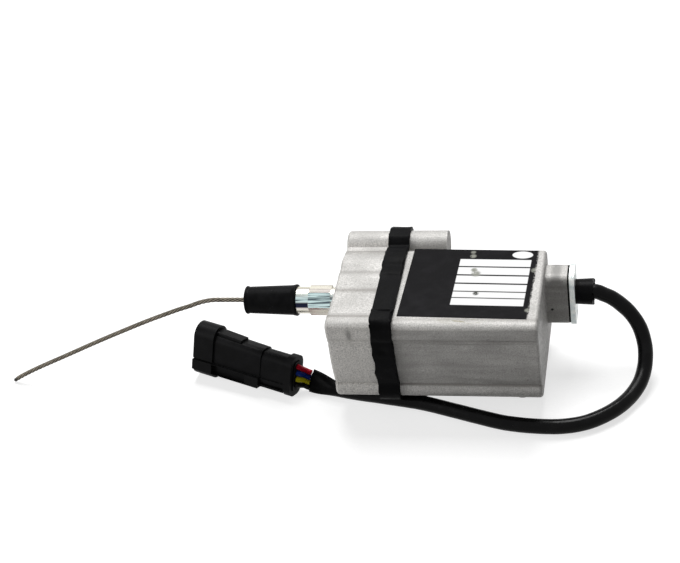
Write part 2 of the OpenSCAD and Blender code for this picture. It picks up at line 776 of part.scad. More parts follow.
// Nut with a side arm: the arm slides on the guide rod and holds the end of the rope
module travelling_nut() {
    color("khaki") in_case() difference() {
        union() {
            rod(screw_y, screw_z, nut_r, nut_x, nut_x + nut_len);
            along(nut_x, nut_x + arm_t) {
                circle_at(guide_y, guide_z, guide_r + 1.9);
                circle_at(rope_y, rope_z, 3.6);
                translate([guide_y, guide_z]) rotate(atan2(rope_z - guide_z, rope_y - guide_y))
                    translate([0, -2]) square([norm([rope_y - guide_y, rope_z - guide_z]), 4]);
                translate([guide_y, guide_z]) rotate(atan2(screw_z - guide_z, screw_y - guide_y))
                    translate([0, -2.4]) square([norm([screw_y - guide_y, screw_z - guide_z]), 4.8]);
                block(rope_y - 8, rope_z - 1, rope_y, rope_z + 1.4);
            }
        }
        rod(screw_y, screw_z, screw_r + run_gap, nut_x - 1, nut_x + nut_len + 1);
        rod(guide_y, guide_z, guide_r + run_gap, nut_x - 1, nut_x + arm_t + 1);
        rod(rope_y, rope_z, arm_bore_r, nut_x - 1, nut_x + arm_t + 1);
    }
}

module guide_rod() {
    color("lightgray") in_case() rod(guide_y, guide_z, guide_r, cover_len, post_x + rear_bush_len);
}

module rope_ferrule() {
    color("darkkhaki") in_case() difference() {
        rod(rope_y, rope_z, ferrule_r, nut_x + arm_t, nut_x + arm_t + ferrule_len);
        rod(rope_y, rope_z, rope_d / 2, nut_x + arm_t - 1, nut_x + arm_t + ferrule_len + 1);
    }
}

module pull_rope() {
    color("#6d6a5c") tube(rope_route, rope_d, 8);
}

module outlet_fitting() {
    color("lightsteelblue") in_case() difference() {
        union() {
            rod(rope_y, rope_z, neck_r - 0.02, -washer_t, outlet_boss_x);
            rod(rope_y, rope_z, barrel_r - 0.3, -washer_t - collar_len, -washer_t);
            translate([hex_x, rope_y, rope_z]) rotate([0, 90, 0]) rotate([0, 0, hex_turn])
                cylinder(r = hex_af / 2 / cos(30), h = hex_len, $fn = 6);
            rod(rope_y, rope_z, barrel_r, hex_x - barrel_bare - 8, hex_x);
            rod(rope_y, rope_z, barrel_r - 2.2, barrel_end_x, hex_x);
        }
        rod(rope_y, rope_z, fitting_bore_r, barrel_end_x - 1, outlet_boss_x + 1);
    }
}

module lock_washer() {
    color("lightsteelblue") in_case() difference() {
        rod(rope_y, rope_z, barrel_r + 0.5, -washer_t, 0);
        rod(rope_y, rope_z, neck_r + seat_gap, -washer_t - 1, 1);
        translate([-washer_t - 1, rope_y - 0.6, rope_z]) cube([washer_t + 2, 1.2, barrel_r + 2]);
    }
}

// Rubber boot: a tapered sleeve with a turned-out rim at each end, closed down to the rope
module rubber_boot() {
    color("#161616") in_case() translate([boot_x, rope_y, rope_z]) rotate([0, 90, 0])
        rotate_extrude() polygon([
            [rope_d / 2 + 0.3, 0], [boot_tip_r + 0.2, 0], [boot_tip_r + 0.3, 0.7],
            [boot_tip_r - 0.1, 1.6], [boot_tip_r, 3], [boot_mouth_r - 0.4, boot_len - 2.6],
            [boot_mouth_r, boot_len - 0.8], [boot_mouth_r, boot_len], [barrel_r + 0.05, boot_len],
            [barrel_r + 0.05, boot_end_t], [rope_d / 2 + 0.3, boot_end_t]
        ]);
}

module entry_outline(over) {
    translate([entry_y, entry_z])
        round_block(entry_w + 2 * over, entry_h + 2 * over, entry_edge_r + over);
}
module entry_holes(x0, x1, hole_r) {
    rod(entry_y, entry_cable_z, hole_r, x0, x1);
    for (z = [-1, 1]) rod(entry_y, entry_z + z * plate_screw_off, small_screw_r + seat_gap, x0, x1);
}

module entry_gasket() {
    color("#1b1b1b") in_case() difference() {
        along(gasket_x, entry_plate_x) entry_outline(-0.2);
        entry_holes(gasket_x - 1, entry_plate_x + 1, cable_d / 2 + 0.3);
    }
}

module entry_plate() {
    color("lightcyan") in_case() difference() {
        along(entry_plate_x, entry_plate_x + plate_t) entry_outline(plate_over);
        entry_holes(entry_plate_x - 1, entry_plate_x + plate_t + 1, sleeve_r);
        for (z = [-1, 1])
            rod(entry_y, entry_z + z * plate_screw_off, small_head_r + seat_gap,
                entry_plate_x + plate_t - small_head_h, entry_plate_x + plate_t + 1);
    }
}

module entry_screws() {
    out_x = entry_plate_x + plate_t;
    color("lightcyan") in_case() for (z = [-1, 1])
        translate([out_x, 0, 0]) mirror([1, 0, 0])
            socket_screw(entry_y, entry_z + z * plate_screw_off, small_screw_r, small_head_r,
                         small_head_h, 0, plate_t + gasket_t + 6);
}

module cable_sleeve() {
    color("#101010") in_case() difference() {
        rod(entry_y, entry_cable_z, sleeve_r, entry_plate_x, sleeve_end_x);
        rod(entry_y, entry_cable_z, cable_d / 2 + 0.03, entry_plate_x - 1, sleeve_end_x + 1);
    }
}

// Board with its relay, capacitor and terminal block, on the floor of the motor case
module circuit_board() {
    board_x = total_len - wall - 20;
    color("seagreen") in_case() {
        translate([board_x, 9, wall + 3]) cube([19, case_depth - 26.5, 1.6]);
        for (y = [11, 34]) translate([board_x + 2, y, wall]) cube([15, 3, 3]);
        translate([board_x + 1.5, 12, wall + 4.6]) cube([15.5, 12, 11]);
        rod_up(board_x + 13, 30, 3.2, wall + 4.6, 9);
        translate([board_x + 1.5, 27, wall + 4.6]) cube([7, 10, 7]);
    }
}
module rod_up(x, y, r, z, h) {
    translate([x, y, z]) cylinder(r = r, h = h);
}

// Two small switches under the roof of the case, one at each end of the arm's travel
module end_switches() {
    roof = case_h - wall;
    color("#202428") in_case() for (x = [nut_x - 1.5, nut_x - 1.5 + stroke]) {
        translate([x, rope_y - 15, roof - 6]) cube([10, 6.4, 6]);
        translate([x + 3, rope_y - 8.7, roof - 3.6]) cube([2, 0.4, 1.2]);
    }
}

module cable_sheath() {
    color("#0e0e0e") tube(cable_route, cable_d, 12, [1.1, 1.3, 1.5]);
}
module wire_red() {
    color("crimson") tube(wire_route(1.5), wire_d, 8);
}
module wire_blue() {
    color("royalblue") tube(wire_route(0.5), wire_d, 8);
}
module wire_yellow() {
    color("gold") tube(wire_route(-0.5), wire_d, 8);
}
module wire_black() {
    color("#1a1a1a") tube(wire_route(-1.5), wire_d, 8);
}

// The plug lies on the table: x runs from its mouth to the wires, y across, z up
module at_plug() {
    translate(plug_pos) rotate([0, plug_tilt, plug_turn]) rotate([-plug_roll, 0, 0]) children();
}
module plug_block(x0, x1, w, h, r) {
    translate([x0, 0, 0]) rotate([90, 0, 90]) linear_extrude(x1 - x0) round_block(w, h, r);
}
module plug_row() {
    for (k = [-1.5:1:1.5]) translate([0, 0, k * pin_pitch]) rotate([0, 90, 0]) children();
}

// Body with its mouth collar, a raised back behind it, and a latch rail along its front
module plug_housing() {
    color("#1d1d1f") at_plug() difference() {
        union() {
            plug_block(0, plug_collar_len, plug_collar_w, plug_collar_h, plug_round);
            plug_block(plug_collar_len, plug_body_len, plug_body_w, plug_body_h, plug_body_r);
            plug_block(plug_collar_len, plug_collar_len + plug_saddle_len,
                       plug_body_w - plug_body_r, plug_body_h + 2.4, 1);
            rail(0, plug_body_len, -rail_low - rail_h / 2, rail_h, plug_collar_w / 2 + rail_out);
        }
        plug_block(-1, plug_collar_len - 1.4, plug_collar_w - 2 * plug_wall,
                   plug_collar_h - 2 * plug_wall, plug_round - plug_wall);
        plug_block(0, plug_mouth_depth, plug_body_w - 2 * body_wall,
                   plug_body_h - 2 * body_wall, plug_body_r - body_wall);
        // grooves along both sides of the rail, then the latch's two slots behind the collar
        for (z = [-rail_low - rail_h / 2 - groove_h, -rail_low + rail_h / 2])
            rail_cut(-1, plug_collar_len + 1, z, groove_h, groove_t);
        rail_cut(plug_collar_len, plug_collar_len + plug_saddle_len,
                 -rail_low - rail_h / 2 + 0.8, rail_h - 2.6, 1.9);
        plug_row() cylinder(r = pin_r, h = plug_len);
    }
}
module rail(x0, x1, z, h, out) {
    translate([x0, -out, z]) cube([x1 - x0, out, h]);
}
module rail_cut(x0, x1, z, h, deep) {
    translate([x0, -plug_collar_w / 2 - 1, z]) cube([x1 - x0, deep + 1, h]);
}

module plug_rear_cap() {
    flange_x = plug_len - plug_flange_t;
    color("#19191b") at_plug() difference() {
        union() {
            plug_block(plug_body_len, flange_x, plug_cap_w, plug_cap_h, plug_cap_r);
            plug_block(flange_x, plug_len, plug_cap_w + 2 * plug_flange_over,
                       plug_cap_h + 2 * plug_flange_over, plug_cap_r + plug_flange_over);
            for (z = [-rail_low - rail_h / 2 + 1, -rail_low + rail_h / 2 - 1])
                rail(plug_body_len, flange_x, z, 1, plug_cap_w / 2 + 0.6);
        }
        plug_block(plug_body_len + cap_web, plug_len + 1, plug_cap_w - 2 * cap_wall,
                   plug_cap_h - 2 * cap_wall, plug_cap_r - cap_wall);
        plug_row() cylinder(r = pin_r, h = plug_len);
    }
}

module plug_seal() {
    color("#26221f") at_plug() difference() {
        plug_block(plug_body_len + cap_web, seal_x, plug_cap_w - 2 * cap_wall - 0.1,
                   plug_cap_h - 2 * cap_wall - 0.1, plug_cap_r - cap_wall - 0.05);
        for (k = [-1.5:1:1.5])
            translate([seal_x - seal_hole_depth, 0, k * wire_pitch])
                rotate([0, 90, 0]) cylinder(r = wire_d / 2 + seal_gap, h = seal_hole_depth + 1);
    }
}

module plug_pins() {
    color("gainsboro") at_plug() plug_row() translate([0, 0, plug_mouth_depth - pin_out])
        cylinder(r = pin_r, h = plug_body_len + cap_web - plug_mouth_depth + pin_out);
}

motor_case();
gear_cover();
joint_band();
cover_screws();
rating_label();
motor_plate();
motor_can();
motor_end_cap();
motor_magnets();
motor_screws();
armature();
windings();
motor_pinion();
idler_gear();
idler_axle();
lead_screw();
screw_gear();
front_bush();
rear_bush();
travelling_nut();
guide_rod();
rope_ferrule();
pull_rope();
outlet_fitting();
lock_washer();
rubber_boot();
entry_gasket();
entry_plate();
entry_screws();
cable_sleeve();
circuit_board();
end_switches();
cable_sheath();
wire_red();
wire_blue();
wire_yellow();
wire_black();
plug_housing();
plug_rear_cap();
plug_seal();
plug_pins();
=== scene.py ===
"""Electric stop actuator for a diesel engine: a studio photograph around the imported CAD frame.

Everything is in metres and in the frame's own place. Sizes are written in millimetres times mm,
and only routes, spots and places on the plug or the label are plain millimetres.
"""

import math

import bmesh
import bpy
from mathutils import Matrix, Vector, noise


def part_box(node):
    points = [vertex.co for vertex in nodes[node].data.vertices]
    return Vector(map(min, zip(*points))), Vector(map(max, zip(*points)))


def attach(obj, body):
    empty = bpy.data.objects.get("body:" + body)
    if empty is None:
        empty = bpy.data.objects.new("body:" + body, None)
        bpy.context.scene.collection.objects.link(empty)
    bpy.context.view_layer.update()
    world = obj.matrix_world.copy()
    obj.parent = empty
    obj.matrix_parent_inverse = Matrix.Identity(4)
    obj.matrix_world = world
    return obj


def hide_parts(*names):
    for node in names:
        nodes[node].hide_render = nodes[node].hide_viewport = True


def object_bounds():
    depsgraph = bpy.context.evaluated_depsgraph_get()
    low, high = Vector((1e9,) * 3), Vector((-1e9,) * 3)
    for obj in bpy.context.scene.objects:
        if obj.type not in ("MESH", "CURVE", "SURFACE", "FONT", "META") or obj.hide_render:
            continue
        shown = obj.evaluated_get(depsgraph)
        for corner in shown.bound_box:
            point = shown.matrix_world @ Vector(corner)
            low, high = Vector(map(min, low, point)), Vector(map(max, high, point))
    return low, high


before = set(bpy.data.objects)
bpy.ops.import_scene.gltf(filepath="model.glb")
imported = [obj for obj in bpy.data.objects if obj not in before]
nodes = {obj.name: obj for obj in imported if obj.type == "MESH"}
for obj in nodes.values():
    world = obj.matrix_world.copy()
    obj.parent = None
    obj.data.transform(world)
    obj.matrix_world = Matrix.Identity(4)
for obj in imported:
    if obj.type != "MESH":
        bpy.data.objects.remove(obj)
cad_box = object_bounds()
mm = 0.001


# ---- Camera ---------------------------------------------------------------------------
# The photograph looks down on the long front of the case, a little from its right.
# The camera is rolled by about ten degrees, and its plain lens has no shift.

photo_width_px = 680
focal_length_px = 1600
sensor_mm = 36
eye = Vector((104.7307, -574.8317, 503.5181)) * mm
aim = Vector((-0.22055, 0.76756, -0.60184))
across = Vector((0.97537, 0.17370, -0.13591))
above = across.cross(aim)

lens = bpy.data.cameras.new("photo_camera")
lens.sensor_width = sensor_mm
lens.lens = focal_length_px * sensor_mm / photo_width_px
camera = bpy.data.objects.new("photo_camera", lens)
bpy.context.scene.collection.objects.link(camera)
camera.matrix_world = (
    Matrix.Translation(eye) @ Matrix((across, above, -aim)).transposed().to_4x4()
)
bpy.context.scene.camera = camera
bpy.context.scene.view_settings.view_transform = "Standard"


# ---- Light and floor ------------------------------------------------------------------
# A white sweep under one large soft box overhead, with a weaker one at the left.
# The sweep is lit by the lamps and keeps the soft grey shadow where the parts lie.


def maths(tree, operation, first, second=0.0, clamp=False):
    """One step of arithmetic between sockets or numbers."""
    step = tree.nodes.new("ShaderNodeMath")
    step.operation = operation
    step.use_clamp = clamp
    for socket, value in zip(step.inputs, (first, second)):
        if isinstance(value, (int, float)):
            socket.default_value = value
        else:
            tree.links.new(value, socket)
    return step.outputs[0]


def seen_directly(tree):
    """1 for rays from the camera, from a mirror or through glass, and 0 for soft light."""
    ray = tree.nodes.new("ShaderNodeLightPath").outputs
    mirrored = maths(tree, "MAXIMUM", ray["Is Glossy Ray"], ray["Is Transmission Ray"])
    return maths(tree, "MAXIMUM", ray["Is Camera Ray"], mirrored)


room_light = 0.10
world = bpy.data.worlds.new("white_room")
bpy.context.scene.world = world
world.use_nodes = True
room = world.node_tree
soft = room.nodes["Background"]
soft.inputs["Color"].default_value = (1.0, 1.0, 1.0, 1.0)
soft.inputs["Strength"].default_value = room_light
backdrop = room.nodes.new("ShaderNodeBackground")
backdrop.inputs["Color"].default_value = (1.0, 1.0, 1.0, 1.0)
backdrop.inputs["Strength"].default_value = 1.0
either = room.nodes.new("ShaderNodeMixShader")
room.links.new(seen_directly(room), either.inputs["Fac"])
room.links.new(soft.outputs[0], either.inputs[1])
room.links.new(backdrop.outputs[0], either.inputs[2])
room.links.new(either.outputs[0], room.nodes["World Output"].inputs["Surface"])


def soft_box(name, place, target, size, power):
    """A square soft box that faces the target."""
    panel = bpy.data.lights.new(name, "AREA")
    panel.shape = "SQUARE"
    panel.size = size
    panel.energy = power
    lamp = bpy.data.objects.new(name, panel)
    lamp.location = place
    lamp.rotation_euler = (Vector(target) - Vector(place)).to_track_quat("-Z", "Y").to_euler()
    bpy.context.scene.collection.objects.link(lamp)


middle = (cad_box[0] + cad_box[1]) / 2
overhead_place, overhead_size, overhead_watts = (-0.1, 0.5, 1.05), 0.6, 15.4
left_place, left_size, left_watts = (-0.95, -0.35, 0.5), 0.5, 4.6
soft_box("overhead_soft_box", overhead_place, middle, overhead_size, overhead_watts)
soft_box("left_soft_box", left_place, middle, left_size, left_watts)

sweep_half = 4.0
sweep_drop = 0.15 * mm
sweep = bpy.data.meshes.new("white_sweep")
floor_z = cad_box[0].z - sweep_drop
sweep.from_pydata(
    [(x * sweep_half, y * sweep_half, floor_z) for x, y in ((-1, -1), (1, -1), (1, 1), (-1, 1))],
    [],
    [(0, 1, 2, 3)],
)
floor = bpy.data.objects.new("white_sweep", sweep)
bpy.context.scene.collection.objects.link(floor)

sweep_paper = bpy.data.materials.new("sweep_paper")
sweep_paper.use_nodes = True
paper = sweep_paper.node_tree
paper.nodes.remove(paper.nodes["Principled BSDF"])
matte = paper.nodes.new("ShaderNodeBsdfDiffuse")
sweep_grey = 0.42
matte.inputs["Color"].default_value = (sweep_grey, sweep_grey, sweep_grey, 1.0)
lift = paper.nodes.new("ShaderNodeEmission")
lift_strength = 0.70
paper.links.new(
    maths(paper, "MULTIPLY", seen_directly(paper), lift_strength), lift.inputs["Strength"]
)
both = paper.nodes.new("ShaderNodeAddShader")
paper.links.new(matte.outputs[0], both.inputs[0])
paper.links.new(lift.outputs[0], both.inputs[1])
paper.links.new(both.outputs[0], paper.nodes["Material Output"].inputs["Surface"])
sweep.materials.append(sweep_paper)


# ---- Cable sheath ---------------------------------------------------------------------
# Black PVC sheath over four cores, 7 mm across. It leaves the end plate of the case,
# drops to the sweep, runs back in front of the case, and is cut off ragged at the plug.

cable_exit = Vector((38.5, 11.5, 38)) * mm
cable_d = 7 * mm
cable_route = [
    (38.5, 11.5, 38), (56.8, 11.5, 38), (60, 11.5, 36.6), (64, 11.4, 34.4), (68.2, 10.9, 30.9),
    (72.8, 9.6, 26.3), (76.4, 7, 21), (78.5, 3.4, 15.8), (79.3, -1.2, 11.8), (79.0, -6.8, 8.2),
    (77.2, -14.0, 5.4), (73.5, -21.4, 3.7), (67.6, -29.8, 3.5), (61, -35.8, 3.5),
    (53.4, -40.4, 3.5), (44, -43.0, 3.5), (33, -43.4, 3.5), (18, -41.7, 3.5), (4, -37.6, 3.5),
    (-9, -33.3, 3.5), (-22.5, -29.1, 3.5), (-40, -25.6, 3.5), (-56.5, -22.6, 3.5),
    (-65, -20.8, 3.9), (-72, -18.6, 4.7), (-78.2, -16.4, 5.3),
]  # fmt: skip


def smooth_line(route, step):
    """A curve through the points of a route in millimetres, as points about one step apart."""
    points = [Vector(p) * mm for p in route]
    points = [2 * points[0] - points[1]] + points + [2 * points[-1] - points[-2]]
    line = [points[1]]
    for a, b, c, d in zip(points, points[1:], points[2:], points[3:]):
        knots = [0.0]
        for p, q in ((a, b), (b, c), (c, d)):
            knots.append(knots[-1] + math.sqrt((q - p).length))
        t0, t1, t2, t3 = knots
        count = max(1, round((c - b).length / step))
        for i in range(1, count + 1):
            t = t1 + (t2 - t1) * i / count
            ab = a.lerp(b, (t - t0) / (t1 - t0))
            bc = b.lerp(c, (t - t1) / (t2 - t1))
            cd = c.lerp(d, (t - t2) / (t3 - t2))
            line.append(
                ab.lerp(bc, (t - t0) / (t2 - t0)).lerp(
                    bc.lerp(cd, (t - t1) / (t3 - t1)), (t - t1) / (t2 - t1)
                )
            )
    return line


def line_length(line):
    """The length of a line of points."""
    return sum((b - a).length for a, b in zip(line, line[1:]))


def new_piece(name, vertices, faces, smooth=True):
    """A mesh object in the scene."""
    mesh = bpy.data.meshes.new(name)
    mesh.from_pydata([tuple(v) for v in vertices], [], faces)
    mesh.polygons.foreach_set("use_smooth", [smooth] * len(mesh.polygons))
    mesh.update()
    piece = bpy.data.objects.new(name, mesh)
    bpy.context.scene.collection.objects.link(piece)
    return piece


def tube(name, line, sides, reach, hollow=0.0, bore=0.82):
    """A tube along a line of points. reach(distance, angle, direction) is its radius there.

    hollow is how deep the far end is open, and bore is how wide against the outside. Without
    hollow both ends are closed."""
    vertices, faces, gone, side = [], [], 0.0, None
    for i, point in enumerate(line):
        run = (line[min(i + 1, len(line) - 1)] - line[max(i - 1, 0)]).normalized()
        if side is None:
            side = run.cross(Vector((0, 0, 1))).normalized()
        side = (side - run * side.dot(run)).normalized()
        other = run.cross(side)
        gone += (point - line[i - 1]).length if i else 0.0
        for k in range(sides):
            angle = 2 * math.pi * k / sides
            direction = side * math.cos(angle) + other * math.sin(angle)
            vertices.append(point + direction * reach(gone, angle, direction))
    rings = len(line)
    if hollow:
        for back in (0.0, hollow):
            for k in range(sides):
                rim = vertices[(len(line) - 1) * sides + k]
                vertices.append(line[-1].lerp(rim, bore) - run * back)
        rings += 2
    for i in range(rings - 1):
        for k in range(sides):
            n = (k + 1) % sides
            faces.append((i * sides + k, i * sides + n, (i + 1) * sides + n, (i + 1) * sides + k))
    faces.append(tuple(range(sides))[::-1])
    faces.append(tuple(range((rings - 1) * sides, rings * sides)))
    return new_piece(name, vertices, faces)


def bump_between(value, start, end):
    """A smooth hump, 0 at start and end and 1 midway."""
    t = (value - start) / (end - start)
    return math.sin(math.pi * t) ** 2 if 0 < t < 1 else 0.0


cable_line = smooth_line(cable_route, step=1.1 * mm)
cable_length = line_length(cable_line)
flat_run = 16 * mm
flat_wide, flat_narrow = 1.75, 0.5
flat_lean = math.radians(30)
flat_axis = Vector((0, math.sin(flat_lean), math.cos(flat_lean)))
cut_run = (cable_line[-1] - cable_line[-2]).normalized()
flat_axis = (flat_axis - cut_run * flat_axis.dot(cut_run)).normalized()
kinks = ((33 * mm, 47 * mm, 0.10), (47 * mm, 58 * mm, 0.07), (20 * mm, 27 * mm, 0.04))
wrinkle_run, wrinkle_turn, wrinkle_depth = 2.6 * mm, 1.3, 0.012
cut_depth = 2.2 * mm
torn_size, torn_depth, torn_back = 1.1 * mm, 0.7 * mm, 0.4


def cable_radius(gone, angle, direction):
    """A round sheath with a kink in its first bend, wrinkles, and a flattened cut end."""
    radius = cable_d / 2
    for start, end, depth in kinks:
        radius *= 1 - depth * bump_between(gone, start, end) * max(0.0, direction.z)
    round_x, round_y = wrinkle_turn * math.cos(angle), wrinkle_turn * math.sin(angle)
    radius *= 1 + wrinkle_depth * noise.noise(Vector((gone / wrinkle_run, round_x, round_y)))
    flat = min(1.0, max(0.0, 1 - (cable_length - gone) / flat_run))
    flat = flat * flat * (3 - 2 * flat)
    wide = 1 + (flat_wide - 1) * flat
    narrow = 1 + (flat_narrow - 1) * flat
    lean = max(-1.0, min(1.0, direction.dot(flat_axis)))
    return radius / math.sqrt((lean / wide) ** 2 + (1 - lean * lean) / narrow**2)


cable = tube("black_cable", cable_line, 32, cable_radius, hollow=cut_depth)
for vertex in cable.data.vertices:
    vertex.co.z = max(vertex.co.z, 0.0)
    from_cut = vertex.co - cable_line[-1]
    if from_cut.length < cable_d and from_cut.dot(cut_run) > -0.1 * mm:
        torn = noise.noise(vertex.co / torn_size) - torn_back
        vertex.co += cut_run * torn * torn_depth


def new_finish(name, roughness, metallic=0.0, specular=0.5):
    """An empty finish: the material, its tree, its shader and the piece's own coordinates."""
    material = bpy.data.materials.new(name)
    material.use_nodes = True
    tree = material.node_tree
    shader = tree.nodes["Principled BSDF"]
    shader.inputs["Roughness"].default_value = roughness
    shader.inputs["Metallic"].default_value = metallic
    shader.inputs["Specular IOR Level"].default_value = specular
    return material, tree, shader, tree.nodes.new("ShaderNodeTexCoord").outputs["Object"]


def cloud(tree, place, size, detail=3.0, stretch=(1.0, 1.0, 1.0)):
    """Soft noise from 0 to 1 whose patches are about the given size."""
    scaled = tree.nodes.new("ShaderNodeMapping")
    scaled.inputs["Scale"].default_value = stretch
    tree.links.new(place, scaled.inputs["Vector"])
    grain = tree.nodes.new("ShaderNodeTexNoise")
    grain.inputs["Scale"].default_value = 1 / size
    grain.inputs["Detail"].default_value = detail
    tree.links.new(scaled.outputs[0], grain.inputs["Vector"])
    return grain.outputs["Fac"]


def spread(tree, value, low, high, to_low=0.0, to_high=1.0):
    """The part of a value between low and high, drawn out to another range."""
    ramp = tree.nodes.new("ShaderNodeMapRange")
    tree.links.new(value, ramp.inputs["Value"])
    for socket, number in zip(
        ("From Min", "From Max", "To Min", "To Max"), (low, high, to_low, to_high)
    ):
        ramp.inputs[socket].default_value = number
    return ramp.outputs["Result"]


def mixed(tree, amount, first, second):
    """Two colours, or sockets that carry them, mixed by an amount."""
    mixer = tree.nodes.new("ShaderNodeMix")
    mixer.data_type = "RGBA"
    tree.links.new(amount, mixer.inputs["Factor"])
    for socket, colour in ((mixer.inputs[6], first), (mixer.inputs[7], second)):
        if isinstance(colour, tuple):
            socket.default_value = (*colour, 1.0)
        else:
            tree.links.new(colour, socket)
    return mixer.outputs[2]


def relief(tree, shader, height, depth):
    """Raises the surface by a height from 0 to 1 times a depth in metres."""
    bump = tree.nodes.new("ShaderNodeBump")
    bump.inputs["Distance"].default_value = depth
    tree.links.new(height, bump.inputs["Height"])
    tree.links.new(bump.outputs[0], shader.inputs["Normal"])


def dress(piece, material):
    """Gives a piece one finish all over."""
    piece.data.materials.clear()
    piece.data.materials.append(material)


cable_pvc, tree, shader, place = new_finish("cable_pvc", 0.25, specular=0.08)
scuffs = spread(tree, cloud(tree, place, 5 * mm), 0.45, 0.7)
lint = spread(tree, cloud(tree, place, 0.9 * mm, detail=1.0), 0.80, 0.84)
worn = mixed(tree, scuffs, (0.003, 0.003, 0.0032), (0.006, 0.006, 0.0063))
tree.links.new(mixed(tree, lint, worn, (0.20, 0.20, 0.20)), shader.inputs["Base Color"])
tree.links.new(spread(tree, scuffs, 0, 1, 0.2, 0.36), shader.inputs["Roughness"])
along_case = tree.nodes.new("ShaderNodeSeparateXYZ")
tree.links.new(place, along_case.inputs[0])
dull_end_x, glossy_x = -70 * mm, -58 * mm
gloss = spread(tree, along_case.outputs["X"], dull_end_x, glossy_x, 0.015, 0.08)
tree.links.new(gloss, shader.inputs["Specular IOR Level"])
relief(tree, shader, cloud(tree, place, 3.0 * mm), 0.06 * mm)
dress(cable, cable_pvc)
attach(cable, "root")
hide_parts("cable_sheath")


# ---- Four cores -----------------------------------------------------------------------
# PVC insulated wires, red, blue, yellow and black, 2.5 mm across. They come out of the
# flattened end of the sheath in a row and enter the rear of the plug 3.4 mm apart.

wire_d = 2.5 * mm
wire_swell = 1.03
wire_pitch = 3.4
plug_place = Vector((-136.1, -1.7, 13.2))
plug_turn = math.radians(-18.4)
plug_roll = math.radians(-20)
collar_half_w, collar_half_h, collar_corner = 13 / 2, 26 / 2, 6.3
flange_half_w, flange_half_h, flange_corner = 12.2 / 2, 20.4 / 2, 5.0
plug_len, collar_len = 54.5, 11.0


def lowest(half_w, half_h, corner):
    """How far a rounded oblong reaches below its centre when it is rolled like the plug."""
    lean = abs(plug_roll)
    return (half_h - corner) * math.cos(lean) + (half_w - corner) * math.sin(lean) + corner


collar_drop = lowest(collar_half_w, collar_half_h, collar_corner)
flange_drop = lowest(flange_half_w, flange_half_h, flange_corner)
plug_tilt = math.atan((collar_drop - flange_drop) / (plug_len - collar_len))
plug_place.z = collar_drop * math.cos(plug_tilt) + collar_len * math.sin(plug_tilt)
plug_axes = (
    Matrix.Rotation(plug_turn, 3, "Z")
    @ Matrix.Rotation(plug_tilt, 3, "Y")
    @ Matrix.Rotation(plug_roll, 3, "X")
)


def plug_point(along, out, up):
    """A place on the plug in millimetres: along it from the mouth, out of its back, and up."""
    return plug_place + plug_axes @ Vector((along, out, up))


sheath_end = Vector(cable_route[-1])
row = Vector((0.165, 0.472, 0.866))
for name, rank, bright, dull in (
    ("red", 1.5, (0.47, 0.002, 0.020), (0.42, 0.002, 0.016)),
    ("blue", 0.5, (0.005, 0.030, 0.24), (0.004, 0.025, 0.20)),
    ("yellow", -0.5, (0.56, 0.50, 0.010), (0.50, 0.44, 0.008)),
    ("black", -1.5, (0.012, 0.012, 0.012), (0.007, 0.007, 0.007)),
):
    mouth = sheath_end + row * wire_d / mm * rank
    wire_line = smooth_line(
        [
            plug_point(48, 0, wire_pitch * rank),
            plug_point(54.3, 0, wire_pitch * rank),
            plug_point(55.1, 0.1 * rank, 3.23 * rank),
            mouth + Vector((-3, 0.8, 0.7)),
            mouth + Vector((-1.7, 0.5, 0.2)),
            mouth + Vector((-0.5, 0.16, 0.05)),
        ],
        step=0.35 * mm,
    )
    wire = tube(name + "_core", wire_line, 20, lambda gone, angle, out: wire_d / 2 * wire_swell)
    insulation, tree, shader, place = new_finish(name + "_insulation", 0.36, specular=0.07)
    faded = spread(tree, cloud(tree, place, 1.5 * mm), 0.35, 0.65)
    tree.links.new(mixed(tree, faded, dull, bright), shader.inputs["Base Color"])
    relief(tree, shader, cloud(tree, place, 2.0 * mm), 0.02 * mm)
    dress(wire, insulation)
    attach(wire, "root")
    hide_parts("wire_" + name)


# ---- Pull rope ------------------------------------------------------------------------
# Galvanised and oiled wire rope, six strands laid right handed, 2 mm across. It is
# crimped in the ferrule on the travelling nut, runs out through the boot, and ends bare.

rope_d = 2.0 * mm
rope_route = [
    (-17, -4, 44.8), (-118, -4, 44.8), (-123, -4, 44.7), (-127.6, -4, 43.85), (-131.4, -4.2, 42.75),
    (-134.8, -4.5, 41.5), (-141.3, -5.2, 39.6), (-147.7, -6, 37.5), (-156.5, -7.1, 34.5),
    (-165.3, -8.2, 31.2), (-183.3, -10.4, 24.1), (-202, -12.4, 16.1), (-221, -14, 7.7),
    (-229.6, -14.5, 3.2), (-233, -14.6, 0.95),
]  # fmt: skip
strands = 6
lay_length = 14.5 * mm
strand_depth, strand_swell = 0.34, 1.12
pinched_run, pinched_to = 3 * mm, 0.78

rope_line = smooth_line(rope_route, step=0.45 * mm)
rope_length = line_length(rope_line)


def rope_radius(gone, angle, direction):
    """Six round strands that wind about the rope's middle, pinched together at the bare end."""
    wound = strands * (angle + 2 * math.pi * gone / lay_length)
    radius = rope_d / 2 * strand_swell * (1 - strand_depth * (1 - abs(math.cos(wound / 2))))
    return radius * min(1.0, pinched_to + (1 - pinched_to) * (rope_length - gone) / pinched_run)


